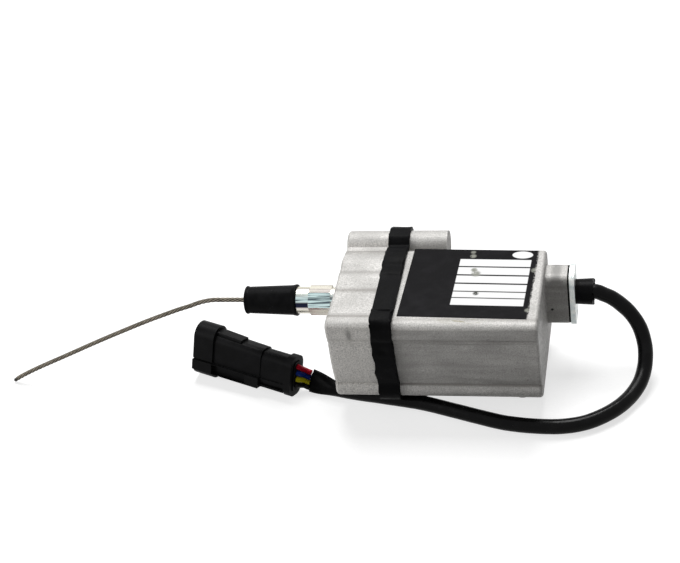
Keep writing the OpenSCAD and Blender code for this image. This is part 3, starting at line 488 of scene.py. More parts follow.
rope_sides = 48
rope = tube("wire_rope", rope_line, rope_sides, rope_radius)
crown = rope.data.attributes.new("crown", "FLOAT", "POINT")
for k, vertex in enumerate(rope.data.vertices):
    height = (vertex.co - rope_line[k // rope_sides]).length / (rope_d / 2 * strand_swell)
    crown.data[k].value = (height - 1 + strand_depth) / strand_depth
oiled_rope, tree, shader, place = new_finish("oiled_rope", 0.42, metallic=0.75)
grime = spread(tree, cloud(tree, place, 3 * mm), 0.35, 0.7)
strand_shade = spread(tree, cloud(tree, place, 0.35 * mm, detail=2.0), 0.3, 0.7)
oily = mixed(tree, grime, (0.09, 0.077, 0.055), (0.045, 0.037, 0.025))
bare_wires = mixed(tree, strand_shade, (0.18, 0.155, 0.12), (0.38, 0.335, 0.27))
oiled_wires = mixed(tree, maths(tree, "MULTIPLY", grime, 0.6), bare_wires, oily)
# Painted shade: the grooves between the strands, read from the crown attribute, are painted nearly
# black.
groove = tree.nodes.new("ShaderNodeAttribute")
groove.attribute_name = "crown"
groove_shade = spread(tree, groove.outputs["Fac"], 0.45, 1.0, 1.0, 0.0)
groove_shaded = mixed(tree, groove_shade, oiled_wires, (0.012, 0.011, 0.008))
tree.links.new(groove_shaded, shader.inputs["Base Color"])
relief(tree, shader, cloud(tree, place, 0.22 * mm), 0.05 * mm)
dress(rope, oiled_rope)
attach(rope, "traveller")
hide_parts("pull_rope")


# ---- Case and gear cover --------------------------------------------------------------
# Two raw aluminium die castings that meet under the rubber band: the long case of the
# motor and screw, and the shallow cover of the gears. Both are dull and fine grained.


def softened(name, node, edge, angle=32.0):
    """A copy of a CAD solid with whole flats instead of triangles and with its edges eased."""
    work = bmesh.new()
    work.from_mesh(nodes[node].data)
    bmesh.ops.remove_doubles(work, verts=work.verts, dist=0.002 * mm)
    bmesh.ops.dissolve_limit(
        work, angle_limit=math.radians(1.0), verts=work.verts, edges=work.edges
    )
    mesh = bpy.data.meshes.new(name)
    work.to_mesh(mesh)
    work.free()
    mesh.polygons.foreach_set("use_smooth", [True] * len(mesh.polygons))
    piece = bpy.data.objects.new(name, mesh)
    bpy.context.scene.collection.objects.link(piece)
    eased = piece.modifiers.new("eased_edges", "BEVEL")
    eased.width = edge
    eased.segments = 2
    eased.limit_method = "ANGLE"
    eased.angle_limit = math.radians(angle)
    eased.miter_outer = "MITER_ARC"
    even = piece.modifiers.new("even_shading", "WEIGHTED_NORMAL")
    even.keep_sharp = True
    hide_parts(node)
    return piece


def spot(tree, place, centre, radius, soft_part=0.5, stretch=(1.0, 1.0, 1.0)):
    """A round patch, 1 in its middle and 0 outside it. Places are in millimetres."""
    moved = tree.nodes.new("ShaderNodeMapping")
    moved.vector_type = "TEXTURE"
    moved.inputs["Location"].default_value = Vector(centre) * mm
    moved.inputs["Scale"].default_value = stretch
    tree.links.new(place, moved.inputs["Vector"])
    far = tree.nodes.new("ShaderNodeVectorMath")
    far.operation = "LENGTH"
    tree.links.new(moved.outputs[0], far.inputs[0])
    return spread(
        tree, far.outputs["Value"], radius * mm * (1 - soft_part), radius * mm, 1.0, 0.0
    )


def facing(tree, axis):
    """How far the surface faces an axis of the piece, from -1 to 1."""
    outward = tree.nodes.new("ShaderNodeTexCoord").outputs["Normal"]
    parts = tree.nodes.new("ShaderNodeSeparateXYZ")
    tree.links.new(outward, parts.inputs[0])
    return parts.outputs[axis]


cast_pale, cast_dull = (0.60, 0.588, 0.568), (0.50, 0.49, 0.473)
cast_grain, cast_dark = (0.31, 0.303, 0.29), (0.16, 0.155, 0.15)
entry_tone, rub_mark = (0.27, 0.265, 0.255), (0.12, 0.115, 0.11)
# The first tone here is painted shade, and dirt in one line; the second is painted shade on the
# front of the case, with streaks.
shade_and_dirt_tone, front_shade_tone = (0.19, 0.18, 0.165), (0.16, 0.152, 0.145)
# The first tone here is painted light on the front of the cover.
cover_front_light_tone, old_glue, pit_black = (0.80, 0.775, 0.735), (0.20, 0.185, 0.11), (0.02, 0.02, 0.02)
joint_x, lip_z = -31.5 * mm, 18.4 * mm
cast_metal, tree, shader, place = new_finish("cast_aluminium", 0.5, metallic=0.16, specular=0.2)
blotches = spread(tree, cloud(tree, place, 14 * mm, detail=4.0), 0.35, 0.65)
grain = spread(tree, cloud(tree, place, 0.55 * mm, detail=3.0), 0.34, 0.66)
pits = spread(tree, cloud(tree, place, 1.6 * mm, detail=3.0), 0.66, 0.72)
end_face = spread(tree, facing(tree, "X"), 0.75, 0.95)
rows = spread(
    tree, cloud(tree, place, 1.5 * mm, detail=4.0, stretch=(1.0, 1.8, 0.6)), 0.50, 0.58
)
end_pits = maths(tree, "MULTIPLY", end_face, rows)
smudge = spot(tree, place, (-50.8, -33.5, 49.0), 5.2, 0.6, (0.42, 1.0, 1.0))
entry_dull = spot(tree, place, (39.5, 11.5, 36.0), 16.5, 0.1, (0.37, 1.0, 1.0))
pit = spot(tree, place, (37.0, 4.7, 32.6), 0.8, 0.4)
plain = mixed(tree, blotches, cast_dull, cast_pale)
grained = mixed(tree, maths(tree, "MULTIPLY", grain, 0.82), plain, cast_grain)
pitted = mixed(tree, maths(tree, "MULTIPLY", pits, 0.42), grained, cast_dark)
ended = mixed(tree, maths(tree, "MULTIPLY", end_pits, 0.5), pitted, cast_dark)
on_top = spread(tree, facing(tree, "Z"), 0.1, 0.5)
entry_grey = maths(tree, "MULTIPLY", entry_dull, spread(tree, on_top, 0, 1, 0.15, 1.0))
greyed = mixed(tree, entry_grey, ended, entry_tone)
smudged = mixed(tree, maths(tree, "MULTIPLY", smudge, 0.6), greyed, rub_mark)
axes = tree.nodes.new("ShaderNodeSeparateXYZ")
tree.links.new(place, axes.inputs[0])
on_cover = spread(
    tree, axes.outputs["X"], joint_x - 0.5 * mm, joint_x + 0.5 * mm, 1.0, 0.0
)
on_front = spread(tree, facing(tree, "Y"), -0.5, -0.8)


def shade_and_dirt_line(axis, at, half, strength, where):
    """A thin soft darker line across one axis at a place in millimetres, for painted shade and for
    dirt.
    """
    off = maths(tree, "ABSOLUTE", maths(tree, "SUBTRACT", axes.outputs[axis], at * mm))
    darkening = maths(tree, "MULTIPLY", spread(tree, off, 0, half * mm, 1.0, 0.0), strength)
    return maths(tree, "MULTIPLY", darkening, where)


top_of_cover = maths(tree, "MULTIPLY", on_top, on_cover)
off_cover = maths(tree, "SUBTRACT", 1.0, on_cover)
top_of_case = maths(tree, "MULTIPLY", on_top, off_cover)
# Painted shade in the dips of the cover's top, behind the long ridge, under the front ridge and at
# the step of the lip on the front; the line on the case's top beside the label is dirt.
shade_and_dirt = None
for axis, at, half, strength, where in (
    ("Y", 21.4, 3.0, 0.60, top_of_cover),
    ("Y", 5.3, 2.4, 0.35, top_of_cover),
    ("Y", -8.1, 2.4, 0.70, top_of_cover),
    ("Y", -28.2, 1.6, 0.75, top_of_cover),
    ("Y", -29.2, 2.0, 0.50, top_of_case),
    ("Z", 45.6, 1.6, 0.40, on_front),
    ("Z", 18.4, 0.9, 0.90, on_front),
):
    line = shade_and_dirt_line(axis, at, half, strength, where)
    shade_and_dirt = line if shade_and_dirt is None else maths(tree, "MAXIMUM", shade_and_dirt, line)
shaded_and_soiled = mixed(tree, shade_and_dirt, smudged, shade_and_dirt_tone)
above_lip = spread(tree, axes.outputs["Z"], lip_z - 0.8 * mm, lip_z)
case_front = maths(tree, "MULTIPLY", maths(tree, "MULTIPLY", on_front, off_cover), above_lip)
# Painted shade: the whole front of the case above the lip is darkened a fifth to nearly half of the
# way to a darker tone, in soft streaks along it.
front_shade_and_streaks = spread(
    tree, cloud(tree, place, 3.0 * mm, detail=3.0, stretch=(0.14, 1.0, 1.0)), 0.35, 0.65, 0.20, 0.46
)
front_shaded = mixed(tree, maths(tree, "MULTIPLY", case_front, front_shade_and_streaks), shaded_and_soiled, front_shade_tone)
# Painted light: the front of the cover is painted paler, less so where the grain or the smudge is.
cover_front = maths(tree, "MULTIPLY", on_front, on_cover)
ungrained = spread(tree, maths(tree, "MAXIMUM", grain, smudge), 0, 1, 0.72, 0.12)
cover_front = maths(tree, "MULTIPLY", cover_front, ungrained)
front_lit = mixed(tree, cover_front, front_shaded, cover_front_light_tone)
drag = spread(
    tree, cloud(tree, place, 1.1 * mm, detail=4.0, stretch=(0.18, 1.0, 1.0)), 0.52, 0.60
)
glue = spot(tree, place, (0.0, -30.0, 53.6), 5.0, 0.8, (2.6, 0.40, 0.6))
glued = mixed(tree, maths(tree, "MULTIPLY", drag, glue), front_lit, old_glue)
tree.links.new(mixed(tree, pit, glued, pit_black), shader.inputs["Base Color"])
tree.links.new(spread(tree, blotches, 0, 1, 0.55, 0.44), shader.inputs["Roughness"])
skin = maths(tree, "MULTIPLY", grain, 0.5)
skin = maths(tree, "SUBTRACT", skin, maths(tree, "MULTIPLY", end_pits, 0.9))
skin = maths(tree, "SUBTRACT", skin, maths(tree, "MULTIPLY", pits, 0.4))
relief(tree, shader, skin, 0.11 * mm)

end_face_x, end_grown, end_round = 33 * mm, 1.4 * mm, 4.2 * mm
cover_face_x, cover_grown, cover_round = -61 * mm, 0.8 * mm, 2.5 * mm
column_end_x, column_grown, column_round = -15 * mm, 1.8 * mm, 1.5 * mm
column_y, column_z = 25 * mm, 35 * mm
pad_top, pad_places, pad_outer, pad_seen = 9.3 * mm, (23 * mm, 16 * mm), 4.0 * mm, 4.5 * mm
bead_z, bead_fall, bead_out, bead_front = 44.2 * mm, 0.9 * mm, 0.9 * mm, -30 * mm
bead_slope = 1.6
rim_round = 1.5 * mm
ridge_y, ridge_z, cover_rise = -28.1 * mm, 48.3 * mm, 1.0 * mm
ridge_round, ridge_seen = 5.8 * mm, 3.2 * mm


def squared(vertex, centre_z, thick=0.0):
    """Moves the round of the long front ridge out to the tighter round of the photograph."""
    out_y, out_z = ridge_y - vertex.co.y, vertex.co.z - centre_z
    radius = math.hypot(out_y, out_z)
    on_round = ridge_round - 0.2 * mm < radius < ridge_round + thick + 0.2 * mm
    if on_round and min(out_y, out_z) > -0.02 * mm:
        vertex.co.y -= (ridge_round - ridge_seen) * (1 - out_y / radius)
        vertex.co.z += (ridge_round - ridge_seen) * (1 - out_z / radius)


def fettle(co):
    """Where a point of the castings ends up: the end faces, the column and the pads as seen."""
    if abs(co.x - end_face_x) < end_round and co.z > pad_top and co.x < end_face_x + 0.1 * mm:
        co.x += end_grown
    if co.x < cover_face_x + cover_round:
        co.x -= cover_grown
    if abs(co.x - column_end_x) < column_round and co.y > column_y and co.z > column_z:
        co.x += column_grown
    if co.z < pad_top:
        pad_x, pad_y = pad_places
        centre = Vector((math.copysign(pad_x, co.x), math.copysign(pad_y, co.y), co.z))
        out = co - centre
        if out.length > pad_outer:
            co.xyz = centre + out * (pad_seen / out.length)


def outer_rim(work, at_x):
    """The longest closed run of sharp outer edges in the plane x = at_x."""
    sharp = {
        edge
        for edge in work.edges
        if all(abs(v.co.x - at_x) < 0.02 * mm for v in edge.verts)
        and edge.is_convex
        and len(edge.link_faces) == 2
        and min(abs(f.normal.x) for f in edge.link_faces) < 0.3
        and max(abs(f.normal.x) for f in edge.link_faces) > 0.9
    }
    longest = []
    while sharp:
        run, ends = [], [sharp.pop()]
        while ends:
            edge = ends.pop()
            run.append(edge)
            near = [e for v in edge.verts for e in v.link_edges if e in sharp]
            sharp.difference_update(near)
            ends += near
        if sum(e.calc_length() for e in run) > sum(e.calc_length() for e in longest):
            longest = run
    return longest


for name, node, rim_x in (
    ("motor_case_casting", "motor_case", end_face_x + end_grown),
    ("gear_cover_casting", "gear_cover", cover_face_x - cover_grown),
):
    casting = softened(name, node, 0.7 * mm)
    work = bmesh.new()
    work.from_mesh(casting.data)
    for cut_z in (bead_z, bead_z - bead_fall):
        everything = work.verts[:] + work.edges[:] + work.faces[:]
        bmesh.ops.bisect_plane(work, geom=everything, plane_co=(0, 0, cut_z), plane_no=(0, 0, 1))
    work.normal_update()
    for vertex in work.verts:
        squared(vertex, ridge_z + (cover_rise if vertex.co.x < joint_x else 0))
        if vertex.co.y < bead_front and vertex.co.z > bead_z - 0.1 * mm:
            vertex.co.y -= bead_out * max(0.0, min(1.0, -bead_slope * vertex.normal.y))
        fettle(vertex.co)
    work.normal_update()
    bmesh.ops.bevel(
        work, geom=outer_rim(work, rim_x), offset=rim_round, offset_type="OFFSET",
        segments=4, profile=0.5, affect="EDGES", clamp_overlap=False,
    )  # fmt: skip
    work.to_mesh(casting.data)
    work.free()
    casting.data.polygons.foreach_set("use_smooth", [True] * len(casting.data.polygons))
    dress(casting, cast_metal)
    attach(casting, "root")


# ---- Joint band -----------------------------------------------------------------------
# A flat band of soft black rubber stretched over the joint of the two castings. It has
# creased where it goes over the ridges, and its ends overlap at the front ridge.

band_low, band_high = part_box("joint_band")
band_mid = (band_low + band_high) / 2
band_half, band_thick = 5 * mm, 2.4 * mm
band_cuts = (1.25 * mm, 2.2 * mm, 2.2 * mm)
crease_run, crease_size, crease_depth = 7 * mm, 3.2 * mm, 0.45 * mm
wave_size, wave_out = 6 * mm, 0.9 * mm
overlap_z, overlap_step = 51.0 * mm, 0.4 * mm
dimple = Vector((-36.0, -35.8, 40.5)) * mm
dimple_wide, dimple_deep = 2.2 * mm, 0.7 * mm
work = bmesh.new()
work.from_mesh(nodes["joint_band"].data)
bmesh.ops.remove_doubles(work, verts=work.verts, dist=0.002 * mm)
bmesh.ops.dissolve_limit(work, angle_limit=math.radians(1.0), verts=work.verts, edges=work.edges)
for axis in range(3):
    cut_step = band_cuts[axis]
    normal = Vector((0, 0, 0))
    normal[axis] = 1
    at = band_low[axis] + cut_step
    while at < band_high[axis] - 0.1 * mm:
        point = band_mid.copy()
        point[axis] = at
        everything = work.verts[:] + work.edges[:] + work.faces[:]
        bmesh.ops.bisect_plane(work, geom=everything, plane_co=point, plane_no=normal)
        at += cut_step
for vertex in work.verts:
    squared(vertex, ridge_z + cover_rise, thick=band_thick)
work.normal_update()
for vertex in work.verts:
    outward = Vector((0, vertex.co.y - band_mid.y, vertex.co.z - band_mid.z)).normalized()
    if vertex.normal.dot(outward) < 0.35:
        continue
    from_middle = abs(vertex.co.x - band_mid.x) / band_half
    crease_at = vertex.co.x / crease_run, vertex.co.y / crease_size, vertex.co.z / crease_size
    sink = crease_depth * (0.5 + 0.5 * noise.noise(Vector(crease_at)))
    if vertex.co.z > overlap_z and vertex.co.y < 0:
        sink += overlap_step
    sink += dimple_deep * max(0.0, 1 - (vertex.co - dimple).length / dimple_wide)
    vertex.co -= vertex.normal * sink
    wave = noise.noise(Vector((3.0, vertex.co.y / wave_size, vertex.co.z / wave_size)))
    vertex.co.x += wave_out * wave * from_middle
band_mesh = bpy.data.meshes.new("rubber_joint_band")
work.to_mesh(band_mesh)
work.free()
band_mesh.polygons.foreach_set("use_smooth", [True] * len(band_mesh.polygons))
band = bpy.data.objects.new("rubber_joint_band", band_mesh)
bpy.context.scene.collection.objects.link(band)
eased = band.modifiers.new("eased_edges", "BEVEL")
eased.width = 0.3 * mm
eased.segments = 2
eased.limit_method = "ANGLE"
eased.angle_limit = math.radians(50)

band_rubber, tree, shader, place = new_finish("band_rubber", 0.5, specular=0.03)
bloom = spread(tree, cloud(tree, place, 6 * mm, detail=4.0), 0.4, 0.75)
tree.links.new(
    mixed(tree, bloom, (0.002, 0.002, 0.0022), (0.0055, 0.0055, 0.006)), shader.inputs["Base Color"]
)
tree.links.new(spread(tree, bloom, 0, 1, 0.42, 0.6), shader.inputs["Roughness"])
relief(tree, shader, cloud(tree, place, 1.4 * mm, detail=4.0), 0.16 * mm)
dress(band, band_rubber)
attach(band, "root")
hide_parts("joint_band")


# ---- Cover screws ---------------------------------------------------------------------
# Four steel pan head screws with cross recesses, blackened and dull, sunk in the ears of
# the gear cover. They hold the cover and the motor plate to the case.

screw_black, tree, shader, place = new_finish("blackened_screw", 0.45, metallic=0.8)
rubbed = spread(tree, cloud(tree, place, 0.9 * mm), 0.4, 0.7)
tree.links.new(
    mixed(tree, rubbed, (0.10, 0.10, 0.10), (0.26, 0.255, 0.25)), shader.inputs["Base Color"]
)
relief(tree, shader, cloud(tree, place, 0.4 * mm), 0.03 * mm)
dress(nodes["cover_screws"], screw_black)


# ---- Rating label ---------------------------------------------------------------------
# A black printed film stuck askew on the top of the case. Six pale fields in a column and
# a pale oval are left bare of words. It is scuffed, and its right edge is worn through.

label_low, label_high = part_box("rating_label")
label_shift = Vector((1.0, 0.9, 0)) * mm
label_mid = (label_low + label_high) / 2 + label_shift
label_w, label_d = 59.2, 50.1
film_thick, film_gap = 0.25 * mm, 0.02 * mm
frayed_out, frayed_back, frays = 0.010, 0.004, 17
label_turn = math.radians(-1.7)
fields_from, fields_to = 0.388, 0.948
field_rows = (
    (0.147, 0.252), (0.270, 0.376), (0.396, 0.500), (0.520, 0.620), (0.634, 0.714), (0.727, 0.825),
)  # fmt: skip
oval_at, oval_half = (0.872, 0.071), (0.081, 0.054)

label_film, tree, shader, place = new_finish("label_film", 0.3, specular=0.035)
on_label = tree.nodes.new("ShaderNodeMapping")
on_label.vector_type = "TEXTURE"
on_label.inputs["Location"].default_value = label_mid
on_label.inputs["Rotation"].default_value = (0, 0, label_turn)
on_label.inputs["Scale"].default_value = (label_w * mm, label_d * mm, 1.0)
tree.links.new(place, on_label.inputs["Vector"])
split = tree.nodes.new("ShaderNodeSeparateXYZ")
tree.links.new(on_label.outputs[0], split.inputs[0])
from_left = maths(tree, "ADD", split.outputs["X"], 0.5)
from_top = maths(tree, "SUBTRACT", 0.5, split.outputs["Y"])
print_blur = 0.002


def between(value, start, end):
    """1 from start to end and 0 outside, with a very slightly soft edge."""
    rise = spread(tree, value, start - print_blur, start + print_blur)
    fall = spread(tree, value, end - print_blur, end + print_blur, 1.0, 0.0)
    return maths(tree, "MULTIPLY", rise, fall)


pale = None
for start, end in field_rows:
    field = between(from_top, start, end)
    pale = field if pale is None else maths(tree, "MAXIMUM", pale, field)
pale = maths(tree, "MULTIPLY", pale, between(from_left, fields_from, fields_to))
oval_u = maths(tree, "DIVIDE", maths(tree, "SUBTRACT", from_left, oval_at[0]), oval_half[0])
oval_v = maths(tree, "DIVIDE", maths(tree, "SUBTRACT", from_top, oval_at[1]), oval_half[1])
oval_uu = maths(tree, "MULTIPLY", oval_u, oval_u)
oval_vv = maths(tree, "MULTIPLY", oval_v, oval_v)
oval_r = maths(tree, "SQRT", maths(tree, "ADD", oval_uu, oval_vv))
pale = maths(tree, "MAXIMUM", pale, spread(tree, oval_r, 0.97, 1.03, 1.0, 0.0))


def label_place(u, v):
    """A place on the label, from parts of its width and depth. The top left corner is 0, 0."""
    from_mid = Vector(((u - 0.5) * label_w, (0.5 - v) * label_d, 0))
    return Matrix.Rotation(label_turn, 3, "Z") @ from_mid + label_mid / mm


film_wear = spread(tree, cloud(tree, place, 7 * mm, detail=4.0), 0.45, 0.8)
film = mixed(tree, film_wear, (0.0045, 0.0042, 0.005), (0.010, 0.0095, 0.011))
printed = mixed(tree, pale, film, (0.80, 0.80, 0.80))
tatter = spread(tree, cloud(tree, place, 0.9 * mm, detail=3.0), 0.45, 0.55)
worn_edge = maths(tree, "MULTIPLY", spread(tree, from_left, 0.983, 0.999), tatter)
bared, stained = (0.27, 0.275, 0.24), (0.05, 0.055, 0.045)
for u, v, radius, strength, ground in (
    (0.478, 0.040, 1.5, 0.8, bared),
    (0.484, 0.10, 1.8, 0.9, bared),
    (0.535, 0.365, 2.7, 0.95, bared),
    (0.515, 0.31, 1.9, 1.0, bared),
    (0.567, 0.655, 1.7, 1.0, stained),
    (0.985, 0.30, 2.0, 0.9, bared),
    (0.985, 0.88, 1.6, 0.9, bared),
):
    scuff = spot(tree, place, label_place(u, v), radius, 0.5)
    scuff = maths(tree, "MULTIPLY", scuff, spread(tree, cloud(tree, place, 0.9 * mm), 0.25, 0.45))
    printed = mixed(tree, maths(tree, "MULTIPLY", scuff, strength), printed, ground)
tree.links.new(mixed(tree, worn_edge, printed, (0.5, 0.49, 0.47)), shader.inputs["Base Color"])
relief(tree, shader, cloud(tree, place, 9 * mm), 0.25 * mm)

film_cells = 60
film_verts, film_faces = [], []
for level in (0.0, film_thick):
    for j in range(film_cells + 1):
        v = j / film_cells
        frayed = frayed_out * noise.noise(Vector((0.3, v * frays, 2.0))) - frayed_back
        for u in (0, 1 + frayed):
            corner = label_place(u, v) * mm
            film_verts.append((corner.x, corner.y, label_low.z + film_gap + level))
film_layer = 2 * (film_cells + 1)
for a in range(0, film_layer - 2, 2):
    lower = (a, a + 1, a + 3, a + 2)
    film_faces += [lower, tuple(k + film_layer for k in reversed(lower))]
rim = [*range(0, film_layer, 2), *range(film_layer - 1, 0, -2)]
for a, b in zip(rim, rim[1:] + rim[:1]):
    film_faces.append((a, b, b + film_layer, a + film_layer))
label = new_piece("printed_label", film_verts, film_faces, smooth=False)
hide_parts("rating_label")
dress(label, label_film)
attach(label, "root")


# ---- Outlet fitting and lock washer ---------------------------------------------------
# A turned steel fitting with a hexagon, screwed into the gear cover over a thin washer.
# Zinc plated, with the pale rainbow of a clear passivation, and with painted reflections: dark
# streaks on the faces that turn up and to the front, and a dark band on the barrel.

zinc, tree, shader, place = new_finish("zinc_plate", 0.2, metallic=0.95)
streaks = spread(
    tree, cloud(tree, place, 0.75 * mm, detail=3.0, stretch=(0.05, 1.0, 1.0)), 0.42, 0.58
)
tone = spread(tree, cloud(tree, place, 3.2 * mm, detail=2.0, stretch=(0.08, 1.0, 1.0)), 0.3, 0.7)
warm = mixed(tree, tone, (0.70, 0.69, 0.56), (0.56, 0.51, 0.50))
# The cyan is a tint of the passivation; the dark streaks on it are painted reflection, laid on the
# faces that turn up and to the front.
cyan_and_reflection = mixed(tree, streaks, (0.60, 0.76, 0.76), (0.08, 0.11, 0.125))
upward = spread(tree, facing(tree, "Z"), 0.15, 0.6)
frontward = spread(tree, facing(tree, "Y"), -0.2, -0.75)
reflecting_side = maths(tree, "MULTIPLY", upward, frontward, clamp=True)
plated = mixed(tree, reflecting_side, warm, cyan_and_reflection)
low_rise = spread(tree, facing(tree, "Z"), 0.02, 0.12)
low_fall = spread(tree, facing(tree, "Z"), 0.40, 0.52, 1.0, 0.0)
along_fitting = tree.nodes.new("ShaderNodeSeparateXYZ")
tree.links.new(place, along_fitting.inputs[0])
hexagon_x = -74.8 * mm
on_barrel = spread(tree, along_fitting.outputs["X"], hexagon_x - 0.3 * mm, hexagon_x, 1.0, 0.0)
# Painted reflection: a dark navy band low on the front of the barrel.
barrel_reflection_mask = maths(tree, "MULTIPLY", maths(tree, "MULTIPLY", low_rise, low_fall), frontward)
barrel_reflection_mask = maths(tree, "MULTIPLY", barrel_reflection_mask, on_barrel, clamp=True)
with_barrel_reflection = mixed(tree, barrel_reflection_mask, plated, (0.012, 0.014, 0.032))
tree.links.new(with_barrel_reflection, shader.inputs["Base Color"])
tree.links.new(spread(tree, streaks, 0, 1, 0.16, 0.34), shader.inputs["Roughness"])
relief(tree, shader, streaks, 0.012 * mm)

fitting = softened("hexagon_fitting", "outlet_fitting", 0.3 * mm)
washer = softened("thin_washer", "lock_washer", 0.15 * mm)
for piece in (fitting, washer):
    dress(piece, zinc)
    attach(piece, "root")


# ---- Rubber boot ----------------------------------------------------------------------
# A moulded black rubber boot pushed over the fitting's barrel. It keeps water out of the
# rope's outlet, and it has a rolled lip at its open end.

boot_rubber, tree, shader, place = new_finish("boot_rubber", 0.4, specular=0.03)
talc = spread(tree, cloud(tree, place, 5 * mm, detail=3.0), 0.4, 0.75)
dust = spread(tree, cloud(tree, place, 0.5 * mm, detail=1.0), 0.78, 0.84)
rubber = mixed(tree, talc, (0.0035, 0.0035, 0.0038), (0.008, 0.008, 0.0085))
tree.links.new(mixed(tree, dust, rubber, (0.10, 0.10, 0.10)), shader.inputs["Base Color"])
tree.links.new(spread(tree, talc, 0, 1, 0.36, 0.5), shader.inputs["Roughness"])
relief(tree, shader, cloud(tree, place, 0.9 * mm), 0.04 * mm)
boot = softened("rope_boot", "rubber_boot", 0.5 * mm, angle=40)
dress(boot, boot_rubber)
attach(boot, "root")


# ---- Cable entry ----------------------------------------------------------------------
# A zinc plated steel plate closes the cable entry over a thin rubber gasket, with two
# countersunk cross recess screws. The cable's sleeve comes through its middle.

plate_zinc, tree, shader, place = new_finish("plate_zinc", 0.36, metallic=0.7)
bloomed = spread(tree, cloud(tree, place, 2.4 * mm, detail=4.0), 0.35, 0.65)
specks = spread(tree, cloud(tree, place, 0.6 * mm, detail=3.0), 0.45, 0.7)
bloomed_zinc = mixed(tree, bloomed, (0.60, 0.66, 0.66), (0.80, 0.81, 0.78))
speckled = mixed(tree, maths(tree, "MULTIPLY", specks, 0.5), bloomed_zinc, (0.42, 0.45, 0.44))
tree.links.new(speckled, shader.inputs["Base Color"])
relief(tree, shader, specks, 0.06 * mm)
plate = softened("entry_cover_plate", "entry_plate", 0.3 * mm)
dress(plate, plate_zinc)
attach(plate, "root")
for node in ("entry_screws", "motor_screws", "motor_plate"):
    dress(nodes[node], plate_zinc)
dress(nodes["entry_gasket"], boot_rubber)


# ---- Cable sleeve ---------------------------------------------------------------------
# A short black sleeve slipped over the cable where it leaves the plate. Its outer end
# was cut by hand, so it is a little flared and uneven.

sleeve = softened("cable_sleeve_tube", "cable_sleeve", 0.15 * mm, angle=50)
sleeve_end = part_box("cable_sleeve")[1].x
flare_run, flared, cut_uneven, cut_short = 2.5 * mm, 0.5 * mm, 1.0 * mm, 0.2 * mm
for vertex in sleeve.data.vertices:
    from_end = sleeve_end - vertex.co.x
    if from_end < flare_run:
        turn = math.atan2(vertex.co.z - cable_exit.z, vertex.co.y - cable_exit.y)
        cut = noise.noise(Vector((2.2 * math.cos(turn), 2.2 * math.sin(turn), 0.4)))
        near_end = 1 - from_end / flare_run
        vertex.co.x += (cut_uneven * cut - cut_short) * near_end
        vertex.co.y += flared * math.cos(turn) * near_end
        vertex.co.z += flared * math.sin(turn) * near_end
dress(sleeve, boot_rubber)
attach(sleeve, "root")


# ---- Cable plug -----------------------------------------------------------------------
# A four way male plug in black glass filled nylon: a shrouded housing with guide rails
# and latch slots, a rear cap that holds the wire seal, and four tinned pins in the mouth.

plug_plastic, tree, shader, place = new_finish("plug_plastic", 0.38, specular=0.045)
handled = spread(tree, cloud(tree, place, 6 * mm, detail=4.0), 0.4, 0.75)
tree.links.new(
    mixed(tree, handled, (0.004, 0.004, 0.0042), (0.0075, 0.0075, 0.008)),
    shader.inputs["Base Color"],
)
tree.links.new(spread(tree, handled, 0, 1, 0.38, 0.52), shader.inputs["Roughness"])
relief(tree, shader, cloud(tree, place, 0.35 * mm), 0.018 * mm)
# The collar is taller than in the CAD, and the latch pocket beside the rail longer and wider:
# each of its two sides moves from one height to the other.
collar_taller, collar_upper = 0.9, 4
slot_sides = ((-8.3, -9.0), (-5.7, -4.1))
slot_longer, slot_start = 5.0, 12.0
for name, node in (("plug_shroud", "plug_housing"), ("plug_cap", "plug_rear_cap")):
    moulding = softened(name, node, 0.3 * mm, angle=38)
    for vertex in moulding.data.vertices:
        along, out, up = plug_axes.transposed() @ (vertex.co / mm - plug_place)
        if along < collar_len + 0.1 and up > collar_upper:
            vertex.co += plug_axes @ Vector((0, 0, collar_taller)) * mm
        for side_was, side_is in slot_sides:
            if node == "plug_housing" and abs(up - side_was) < 0.05:
                longer = slot_longer if along > slot_start else 0.0
                vertex.co += plug_axes @ Vector((longer, 0, side_is - side_was)) * mm
    dress(moulding, plug_plastic)
    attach(moulding, "root")
seal = softened("plug_wire_seal", "plug_seal", 0.2 * mm)
seal_proud = 1.5 * mm
plug_run = plug_axes @ Vector((1, 0, 0))
seal_rear = max((vertex.co - plug_place * mm).dot(plug_run) for vertex in seal.data.vertices)
for vertex in seal.data.vertices:
    if (vertex.co - plug_place * mm).dot(plug_run) > seal_rear - 0.2 * mm:
        vertex.co += plug_run * seal_proud
dress(seal, boot_rubber)
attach(seal, "root")

tin, tree, shader, place = new_finish("tin_plate", 0.28, metallic=1.0)
wiped = spread(tree, cloud(tree, place, 1.0 * mm, stretch=(0.2, 1.0, 1.0)), 0.3, 0.7)
tree.links.new(
    mixed(tree, wiped, (0.62, 0.62, 0.60), (0.74, 0.74, 0.72)), shader.inputs["Base Color"]
)
dress(nodes["plug_pins"], tin)


# ---- Motor ----------------------------------------------------------------------------
# A brushed motor in the case: a drawn steel can with two ferrite magnets, a plastic end
# cap, and an armature of steel laminations wound with enamelled copper.


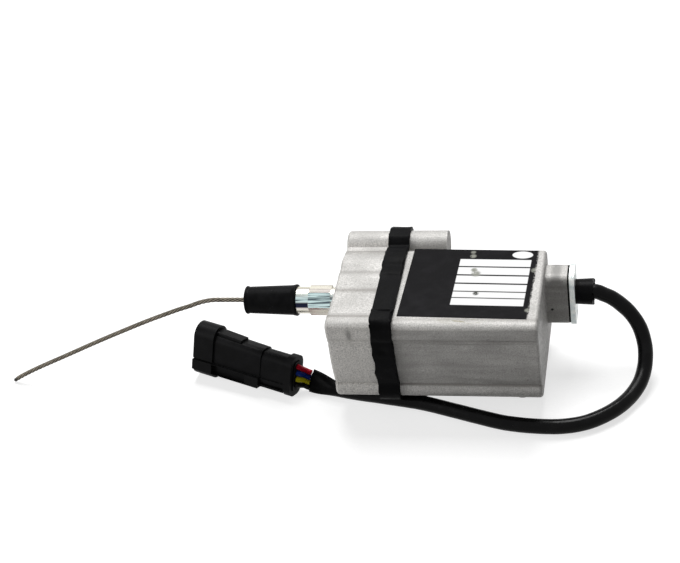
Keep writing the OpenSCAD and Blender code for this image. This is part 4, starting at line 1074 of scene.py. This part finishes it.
def mottled(
    name, dull, bright, size, roughness, metallic=0.0, stretch=(1.0, 1.0, 1.0), depth=0.02
):
    """A plain finish in two tones of one colour with a fine grain. Its size is in millimetres."""
    material, tree, shader, place = new_finish(name, roughness, metallic)
    patches = spread(tree, cloud(tree, place, size * mm, stretch=stretch), 0.35, 0.65)
    tree.links.new(mixed(tree, patches, dull, bright), shader.inputs["Base Color"])
    tree.links.new(
        spread(tree, patches, 0, 1, roughness + 0.06, roughness - 0.04), shader.inputs["Roughness"]
    )
    relief(tree, shader, cloud(tree, place, size * 0.2 * mm, stretch=stretch), depth * mm)
    return material


bright_steel = mottled(
    "bright_steel", (0.50, 0.50, 0.50), (0.66, 0.66, 0.65), 2.0, 0.26, 1.0, (0.15, 1.0, 1.0)
)
for node in ("motor_can", "armature", "idler_axle", "lead_screw", "guide_rod"):
    dress(nodes[node], bright_steel)
dress(
    nodes["motor_end_cap"],
    mottled("black_plastic", (0.012, 0.012, 0.013), (0.024, 0.024, 0.026), 3.0, 0.5),
)
dress(
    nodes["motor_magnets"],
    mottled("sintered_ferrite", (0.035, 0.035, 0.038), (0.06, 0.06, 0.065), 1.2, 0.7, depth=0.05),
)
dress(
    nodes["windings"],
    mottled(
        "enamelled_copper", (0.40, 0.12, 0.03), (0.62, 0.24, 0.07), 0.8, 0.3, 0.8, (0.1, 1.0, 1.0)
    ),
)


# ---- Gears, screw and travelling nut --------------------------------------------------
# A brass pinion on the motor's shaft drives two acetal gears, which turn the steel lead
# screw in its bronze bushes. The acetal nut on it carries the crimped brass ferrule.

brass = mottled("machined_brass", (0.55, 0.38, 0.14), (0.70, 0.52, 0.24), 1.5, 0.3, 1.0)
for node in ("motor_pinion", "front_bush", "rear_bush", "rope_ferrule"):
    dress(nodes[node], brass)
acetal = mottled("natural_acetal", (0.66, 0.62, 0.50), (0.76, 0.72, 0.61), 3.0, 0.42)
for node in ("idler_gear", "screw_gear", "travelling_nut"):
    dress(nodes[node], acetal)


# ---- Circuit board and end switches ---------------------------------------------------
# A lacquered board with its relay and suppressor stands behind the motor, and two small
# black switches over the nut cut the motor off at each end of its travel.

dress(
    nodes["circuit_board"],
    mottled("lacquered_board", (0.012, 0.11, 0.045), (0.02, 0.17, 0.07), 1.6, 0.35, depth=0.04),
)
dress(
    nodes["end_switches"],
    mottled("switch_plastic", (0.014, 0.014, 0.015), (0.028, 0.028, 0.03), 1.5, 0.45),
)
